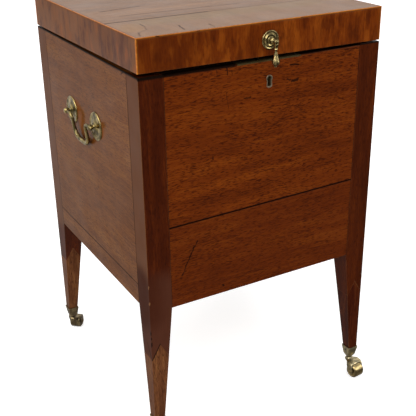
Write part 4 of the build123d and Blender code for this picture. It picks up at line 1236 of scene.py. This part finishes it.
@dataclass
class SideHandle:
    """Two turned roses, two posts with ball heads and a swan-necked bail, in millimetres."""

    brass: Finish
    side: str
    height: float = 532.6
    offset: float = 11.5
    spread: float = 108.0
    face: float = FACE
    pivot: float = 11.0
    lean: float = 8.0
    depth: float = 40.0
    neck_inset: float = 24.0
    neck_bend: float = 10.0
    grip_bend: float = 18.0
    overhang: float = 6.5
    end_radius: float = 2.4
    leg_radius: float = 3.1
    grip_radius: float = 4.2
    bend_steps: int = 9

    def build(self) -> None:
        """Makes both roses, both posts and the bail."""
        sign = -1.0 if self.side == "left" else 1.0
        outward = Facing.LEFT if self.side == "left" else Facing.RIGHT
        for name, along in (("front", -self.spread / 2), ("back", self.spread / 2)):
            place = outward.at(sign * self.face, self.offset + along, self.height)
            rose = self.rose(f"handle_rose_{self.side}_{name}", place)
            dress(rose, "case", "fittings_brass", self.brass, "handle_roses")
            post = self.post(f"handle_post_{self.side}_{name}", place)
            dress(post, "case", "fittings_brass", self.brass, "handle_posts")
        hinge = outward.at(sign * (self.face + self.pivot), self.offset, self.height)
        node = "handle_bail_" + self.side
        dress(self.bail("bail_" + self.side, hinge), node, "fittings_brass", self.brass, node)

    def rose(self, name: str, place: Matrix) -> Piece:
        """Round rose with a raised edge and a swelling middle.

        Args:
            name: the piece's name.
            place: the case's face at the post.

        Returns:
            The object.
        """
        profile = [(0.0, 0.0), (24.0, 0.0), (24.0, 0.9), (23.2, 1.9), (21.8, 2.3), (20.2, 1.9),
                   (18.2, 1.4), (13.5, 1.7), (10.0, 2.5), (7.8, 3.6), (6.6, 4.4), (0.0, 4.4)]
        return turned(name, profile, place, 0.9, 72)

    def post(self, name: str, place: Matrix) -> Piece:
        """Post with a flared neck and a ball head, bored for the bail.

        Args:
            name: the piece's name.
            place: the case's face at the post.

        Returns:
            The object.
        """
        profile = [(0.0, -16.6), (2.2, -16.6), (2.2, 4.2), (4.8, 4.3), (4.2, 5.0), (3.2, 6.0), (3.5, 6.9),
                   (4.7, 8.2), (5.1, 10.0), (5.1, 11.6), (4.6, 13.6), (3.1, 15.2), (0.0, 15.75)]
        post = turned(name, profile, place, 0.8, 40)
        across = place @ shift(0, 0, self.pivot) @ spin(90.0, "Y")
        radius = self.end_radius + 0.08
        bore = turned("bore", [(0.0, -9.0), (radius, -9.0), (radius, 9.0), (0.0, 9.0)], across, 0.01, 28)
        shape_with(post, bore, "DIFFERENCE")
        return post

    def line(self) -> list[tuple[float, float, float]]:
        """Half of the bail's middle line.

        Returns:
            Distance along the hinge, depth below it and radius, from the end to the middle.
        """
        end = self.spread / 2
        neck = end - self.neck_inset
        points = [(end + self.overhang, 0.0, self.end_radius), (end, 0.0, self.end_radius)]
        for step in range(self.bend_steps + 1):
            share = step / self.bend_steps
            angle = math.pi / 2 * share
            across = neck + self.neck_bend * (1 - math.sin(angle))
            radius = self.end_radius + 0.35 * share
            points.append((across, self.neck_bend * (1 - math.cos(angle)), radius))
        for step in range(self.bend_steps + 1):
            share = step / self.bend_steps
            angle = math.pi / 2 * (1 - share)
            across = neck - self.grip_bend * (1 - math.sin(angle))
            depth = self.depth - self.grip_bend * (1 - math.cos(angle))
            radius = self.leg_radius + (self.grip_radius - self.leg_radius) * 0.8 * share
            points.append((across, depth, radius))
        points.append((0.0, self.depth, self.grip_radius))
        return points

    def bail(self, name: str, hinge: Matrix) -> Piece:
        """The bail with a button on each end.

        Args:
            name: the piece's name.
            hinge: the middle of its hinge line, facing outward.

        Returns:
            The object.
        """
        half = self.line()
        path = half + [(-x, depth, radius) for x, depth, radius in reversed(half[:-1])]
        centres = [Vector((x, -depth, 0.0)) for x, depth, _ in path]
        work = bmesh.new()
        rings = []
        count = 24
        for i, (_, _, radius) in enumerate(path):
            ahead = centres[min(i + 1, len(path) - 1)] - centres[max(i - 1, 0)]
            ahead.normalize()
            beside = Vector((-ahead.y, ahead.x, 0.0))
            ring = []
            for k in range(count):
                angle = 2 * math.pi * k / count
                out = beside * math.cos(angle) + Vector((0, 0, 1)) * math.sin(angle)
                ring.append(work.verts.new(centres[i] + out * radius))
            rings.append(ring)
        place = hinge @ spin(self.lean, "X")
        piece = placed(name, work, rings, place)
        for sign in (-1, 1):
            reach = self.spread / 2 + self.overhang
            across = place @ shift(sign * (reach - 1.3), 0, 0)
            across = across @ spin(90.0, "Y")
            profile = [(0.0, -1.2), (2.5, -1.2), (3.3, 0.0), (2.5, 1.2), (0.0, 1.25)]
            button = turned("button", profile, across, 0.6, 24)
            shape_with(piece, button, "UNION")
        return piece


@dataclass
class Castor:
    """One castor: square cup, horn, axle and broad roller, in millimetres."""

    name: str
    sign_x: int
    sign_y: int
    trail_turn: float
    brass: Finish
    roller_brass: Finish
    steel: Finish
    foot: float = 206.75
    trail: float = 18.5
    axle_z: float = 13.5
    wheel_half: float = 11.0
    cheek_gap: float = 0.4
    cheek: float = 2.2
    plate_low: float = 28.2
    plate_high: float = 31.0
    boss_top: float = 34.0
    neck_bottom: float = 34.3
    shoulder_top: float = 41.6
    rim: float = 60.0
    socket_floor: float = 45.9
    screw_z: float = 52.6
    screw: Screw = field(default_factory=lambda: Screw(radius=2.1, dome=0.2))

    def build(self) -> None:
        """Makes the cup with its screws, the horn, the axle and the roller."""
        x, y = self.sign_x * self.foot, self.sign_y * self.foot
        upright = shift(x, y, 0)
        place = upright @ spin(self.trail_turn, "Z")
        axle = place @ shift(self.trail, 0, self.axle_z) @ spin(90.0, "X")
        horn_body = "castor_horn_" + self.name
        wheel_body = "castor_wheel_" + self.name
        dress(self.cup(upright), "case", "castor_brass", self.brass, "castor_cups")
        dress(self.horn(place), horn_body, "castor_brass", self.brass, horn_body)
        dress(self.axle(axle), horn_body, "castor_brass", self.roller_brass, "castor_axle_" + self.name)
        dress(self.roller(axle), wheel_body, "castor_brass", self.roller_brass, wheel_body)
        flare = 2.65
        rise = self.rim - 2.1 - self.shoulder_top
        out = 8.25 + flare * (self.screw_z - 0.7 - self.shoulder_top) / rise
        slope = Matrix.Rotation(math.atan2(flare, rise), 4, "X")
        for side in (-1, 1):
            facing = Facing.LEFT if side < 0 else Facing.RIGHT
            spot = facing.at(x + side * out, y, self.screw_z) @ slope
            head = self.screw.head(f"cup_screw_{self.name}_{side + 1}", spot, 40.0 + 25.0 * side)
            dress(head, "case", "steel", self.steel)

    def cup(self, place: Matrix) -> Piece:
        """Square tapered socket with a turned neck and the swivel pin under it.

        Args:
            place: the castor's upright axis.

        Returns:
            The object.
        """
        top = self.rim
        shoulder = self.shoulder_top
        sections = ((4.0, 4.0, 26.6), (4.0, 4.0, 27.9), (2.5, 2.5, 28.0), (2.5, 2.5, 34.2),
                    (3.6, 3.6, self.neck_bottom), (3.9, 2.6, 35.0), (5.0, 1.6, 36.0), (6.4, 1.2, 38.4),
                    (7.6, 1.1, shoulder - 0.4), (8.0, 1.0, shoulder), (8.15, 1.0, shoulder + 0.7),
                    (10.8, 0.9, top - 1.4), (11.0, 0.9, top - 0.5), (10.7, 0.7, top), (9.75, 0.3, top),
                    (9.45, 0.3, top - 0.5), (7.5, 0.4, self.socket_floor))
        squares = [(half, half, corner, z) for half, corner, z in sections]
        piece = stacked("castor_cup_" + self.name, squares, place)
        ease_shading(piece)
        return piece

    def horn(self, place: Matrix) -> Piece:
        """Plate with a flared boss and two rounded cheeks.

        Args:
            place: the castor's upright axis, +X the way it trails.

        Returns:
            The object.
        """
        inner = self.wheel_half + self.cheek_gap
        outer = inner + self.cheek
        eye = 5.4
        outline = [(-7.0, self.plate_low), (-7.0, self.plate_high - 1.2), (-5.8, self.plate_high),
                   (15.0, self.plate_high), (18.8, self.plate_high - 1.4), (21.6, 27.0), (23.6, 20.0)]
        for step in range(13):
            angle = math.radians(10 - 190 * step / 12)
            outline.append((self.trail + eye * math.cos(angle), self.axle_z + eye * math.sin(angle)))
        outline += [(11.2, 20.0), (7.0, 25.2), (1.5, self.plate_low - 0.6)]
        stand = place @ spin(90.0, "X")
        horn = slab("horn_" + self.name, outline, -outer, outer, stand)
        low = self.plate_low
        room = [(-20.0, -20.0), (60.0, -20.0), (60.0, low), (-20.0, low)]
        shape_with(horn, slab("room", room, -inner, inner, stand), "DIFFERENCE")
        plan = [(-6.6, -2.6), (-5.0, -5.2), (-1.5, -7.2), (4.0, -9.0), (8.6, -outer), (24.5, -outer),
                (24.5, outer), (8.6, outer), (4.0, 9.0), (-1.5, 7.2), (-5.0, 5.2), (-6.6, 2.6)]
        shape_with(horn, slab("plan", plan, 0.0, 40.0, place), "INTERSECT")
        ease_edges(horn, 0.6)
        settle(horn)
        top = self.boss_top
        profile = [(0.0, 29.5), (6.8, 29.5), (6.8, top - 3.0), (6.2, top - 1.8), (5.2, top - 0.8),
                   (4.5, top - 0.2), (4.1, top), (0.0, top)]
        boss = turned("boss", profile, place, 0.5, 40)
        shape_with(horn, boss, "UNION")
        bore = turned("bore", [(0.0, 20.0), (2.6, 20.0), (2.6, 40.0), (0.0, 40.0)], place, 0.01, 28)
        shape_with(horn, bore, "DIFFERENCE")
        ease_shading(horn)
        return horn

    def axle(self, place: Matrix) -> Piece:
        """Axle with two riveted domes.

        Args:
            place: its middle, +Z along it.

        Returns:
            The object.
        """
        end = self.wheel_half + self.cheek_gap + self.cheek
        profile = [(0.0, -end - 1.3), (2.2, -end - 1.0), (3.1, -end - 0.05), (2.0, -end), (2.0, end),
                   (3.1, end + 0.05), (2.2, end + 1.0), (0.0, end + 1.3)]
        return turned("axle_" + self.name, profile, place, 0.3, 32)

    def roller(self, place: Matrix) -> Piece:
        """Broad roller with bevelled edges, hollowed ends and hubs.

        Args:
            place: the axle's middle, +Z along it.

        Returns:
            The object.
        """
        half = self.wheel_half
        end = [(4.6, half), (5.0, half - 0.9), (9.4, half - 0.9), (10.0, half), (11.3, half),
               (13.1, half - 1.9), (13.5, half - 2.6)]
        profile = [(2.1, half)] + end + [(13.5, 0.0)]
        profile += [(r, -z) for r, z in reversed(end)] + [(2.1, -half)]
        piece = turned("roller_" + self.name, profile, place, 0.35, 64, True)
        ease_shading(piece)
        return piece


def ease_shading(piece: Piece) -> None:
    """Shades a piece smooth but for its sharp edges.

    Args:
        piece: the object.
    """
    for face in piece.data.polygons:
        face.use_smooth = True
    keep_flats(piece)
    piece.data.set_sharp_from_angle(angle=math.radians(38))


@dataclass
class Studio:
    """Floor, lamps, surroundings and camera, in metres."""

    camera_place: Point = (-0.6547, -1.2015, 0.9411)
    azimuth: float = -29.044
    elevation: float = 24.435
    roll: float = -0.926
    lens: float = 68.6
    floor_half: float = 20.0

    def build(self) -> None:
        """Sets everything up."""
        self.camera()
        self.floor()
        self.surroundings()
        self.lamp("key", (-1.1, -1.9, 2.3), (0.0, 0.0, 0.45), 1.6, 50.0)
        self.lamp("fill", (2.2, -1.6, 1.6), (0.0, 0.0, 0.4), 1.8, 28.0)
        self.lamp("overhead", (0.2, 0.5, 2.8), (0.0, 0.0, 0.3), 1.8, 26.0)
        self.lamp("side", (-2.3, -0.1, 1.9), (0.0, 0.0, 0.4), 1.6, 30.0)
        settings = bpy.context.scene.view_settings
        settings.view_transform = "Standard"

    def camera(self) -> None:
        """Puts the camera where the photograph was taken from."""
        az, el, roll = (math.radians(a) for a in (self.azimuth, self.elevation, self.roll))
        ahead = Vector((-math.sin(az) * math.cos(el), math.cos(az) * math.cos(el), -math.sin(el)))
        right = ahead.cross(Vector((0, 0, 1))).normalized()
        above = right.cross(ahead)
        level_x = right * math.cos(roll) + above * math.sin(roll)
        level_y = above * math.cos(roll) - right * math.sin(roll)
        data = bpy.data.cameras.new("camera")
        data.lens = self.lens
        data.sensor_width = 36.0
        data.clip_start = 0.05
        data.clip_end = 100.0
        camera = bpy.data.objects.new("camera", data)
        axes = Matrix((level_x, level_y, -ahead)).transposed().to_4x4()
        camera.matrix_world = Matrix.Translation(Vector(self.camera_place)) @ axes
        bpy.context.scene.collection.objects.link(camera)
        bpy.context.scene.camera = camera

    def floor(self) -> None:
        """Pale floor that looks white from the camera and keeps the shadow.

        The paper ends a little in front of the cellarette, so polish and brass that face the front mirror
        the dim floor beyond it.
        """
        work = bmesh.new()
        half = self.floor_half / MM
        corners = [(-half, -half, 0), (half, -half, 0), (half, half, 0), (-half, half, 0)]
        work.faces.new([work.verts.new(c) for c in corners])
        floor = new_piece("floor", work, False)
        material, wire, shader = new_material("pale floor")
        shader.inputs["Roughness"].default_value = 0.9
        shader.inputs["Specular IOR Level"].default_value = 0.0
        rays = wire.add("LightPath").outputs
        place = wire.add("TexCoord").outputs["Object"]
        across, depth, _ = wire.add("SeparateXYZ", {0: place}).outputs
        beyond = wire.remap(depth, -0.3, -0.16, 1.0, 0.0, smooth=True)
        beyond = wire.calc("MULTIPLY", beyond, wire.remap(across, -0.08, 0.08, 0.45, 1.0, smooth=True))
        far = wire.remap(depth, 0.2, 2.4, smooth=True)
        behind = wire.mix(far, (0.45, 0.44, 0.42), (1.0, 1.0, 1.0))
        mirrored = wire.mix(beyond, behind, (0.03, 0.025, 0.02))
        tone = wire.mix(rays["Is Glossy Ray"], (0.8, 0.8, 0.8), mirrored)
        wire.link(tone, shader, "Base Color")
        seen = wire.calc("MAXIMUM", rays["Is Camera Ray"], rays["Is Transmission Ray"])
        shader.inputs["Emission Color"].default_value = (1.0, 1.0, 1.0, 1.0)
        away = wire.vector("LENGTH", place).outputs["Value"]
        glow = wire.calc("MULTIPLY", seen, wire.remap(away, 0.7, 2.6, 0.5, 0.9, smooth=True))
        wire.link(glow, shader, "Emission Strength")
        floor.data.materials.append(material)

    def surroundings(self) -> None:
        """White surroundings behind, a dim room in front for reflections, and an even soft light."""
        world = bpy.data.worlds.new("surroundings")
        bpy.context.scene.world = world
        world.use_nodes = True
        wire = Wiring(world.node_tree)
        back = world.node_tree.nodes["Background"]
        rays = wire.add("LightPath").outputs
        seen = wire.calc("MAXIMUM", rays["Is Camera Ray"], rays["Is Transmission Ray"])
        back.inputs["Color"].default_value = (1.0, 1.0, 1.0, 1.0)
        ahead = wire.add("SeparateXYZ", {0: wire.add("TexCoord").outputs["Generated"]}).outputs["Y"]
        room = wire.remap(ahead, -0.25, 0.3, 0.12, 1.0, smooth=True)
        strength = wire.calc("MAXIMUM", seen, wire.calc("MULTIPLY", rays["Is Glossy Ray"], room))
        strength = wire.calc("MAXIMUM", strength, wire.remap(rays["Is Glossy Ray"], 0.0, 1.0, 0.4, 0.0))
        wire.link(strength, back, "Strength")

    def lamp(self, name: str, place: Point, target: Point, size: float, power: float) -> None:
        """Adds a soft square lamp.

        Args:
            name: its name.
            place: where it stands.
            target: what it points at.
            size: its side.
            power: its strength in watts.
        """
        data = bpy.data.lights.new(name, "AREA")
        data.shape = "SQUARE"
        data.size = size
        data.energy = power
        lamp = bpy.data.objects.new(name, data)
        lamp.location = Vector(place)
        lamp.rotation_euler = (Vector(target) - Vector(place)).to_track_quat("-Z", "Y").to_euler()
        bpy.context.scene.collection.objects.link(lamp)


CASTOR_TURNS = (("front_left", -1, -1, 0.0), ("front_right", 1, -1, -84.0), ("back_left", -1, 1, 48.6),
                ("back_right", 1, 1, 90.0))


def main() -> None:
    """Builds the studio, then the cellarette piece by piece."""
    logging.basicConfig(level=logging.INFO, format="%(message)s")
    Studio().build()
    woods = Woods()
    brass = AGED_BRASS.build()
    castor_brass = CASTOR_BRASS.build()
    shaded_castor_brass = SHADED_CASTOR_BRASS.build()
    roller_brass = ROLLER_BRASS.build()
    cup_screw_steel_and_shade = CUP_SCREW_STEEL_AND_SHADE.build()
    steel = DARK_STEEL.build()
    Carcass(woods).build()
    Cellar(woods).build()
    Lid(woods).build()
    Fittings(brass, steel).build()
    DropPull(brass).build()
    handle_brass = HANDLE_BRASS.build()
    for side in ("left", "right"):
        SideHandle(handle_brass, side).build()
    for name, sign_x, sign_y, turn in CASTOR_TURNS:
        # The back-left castor takes the darker brass as painted shade.
        finishes = (shaded_castor_brass, shaded_castor_brass) if name == "back_left" else (castor_brass, roller_brass)
        Castor(name, sign_x, sign_y, turn, *finishes, cup_screw_steel_and_shade).build()


if __name__ == "__main__":
    main()
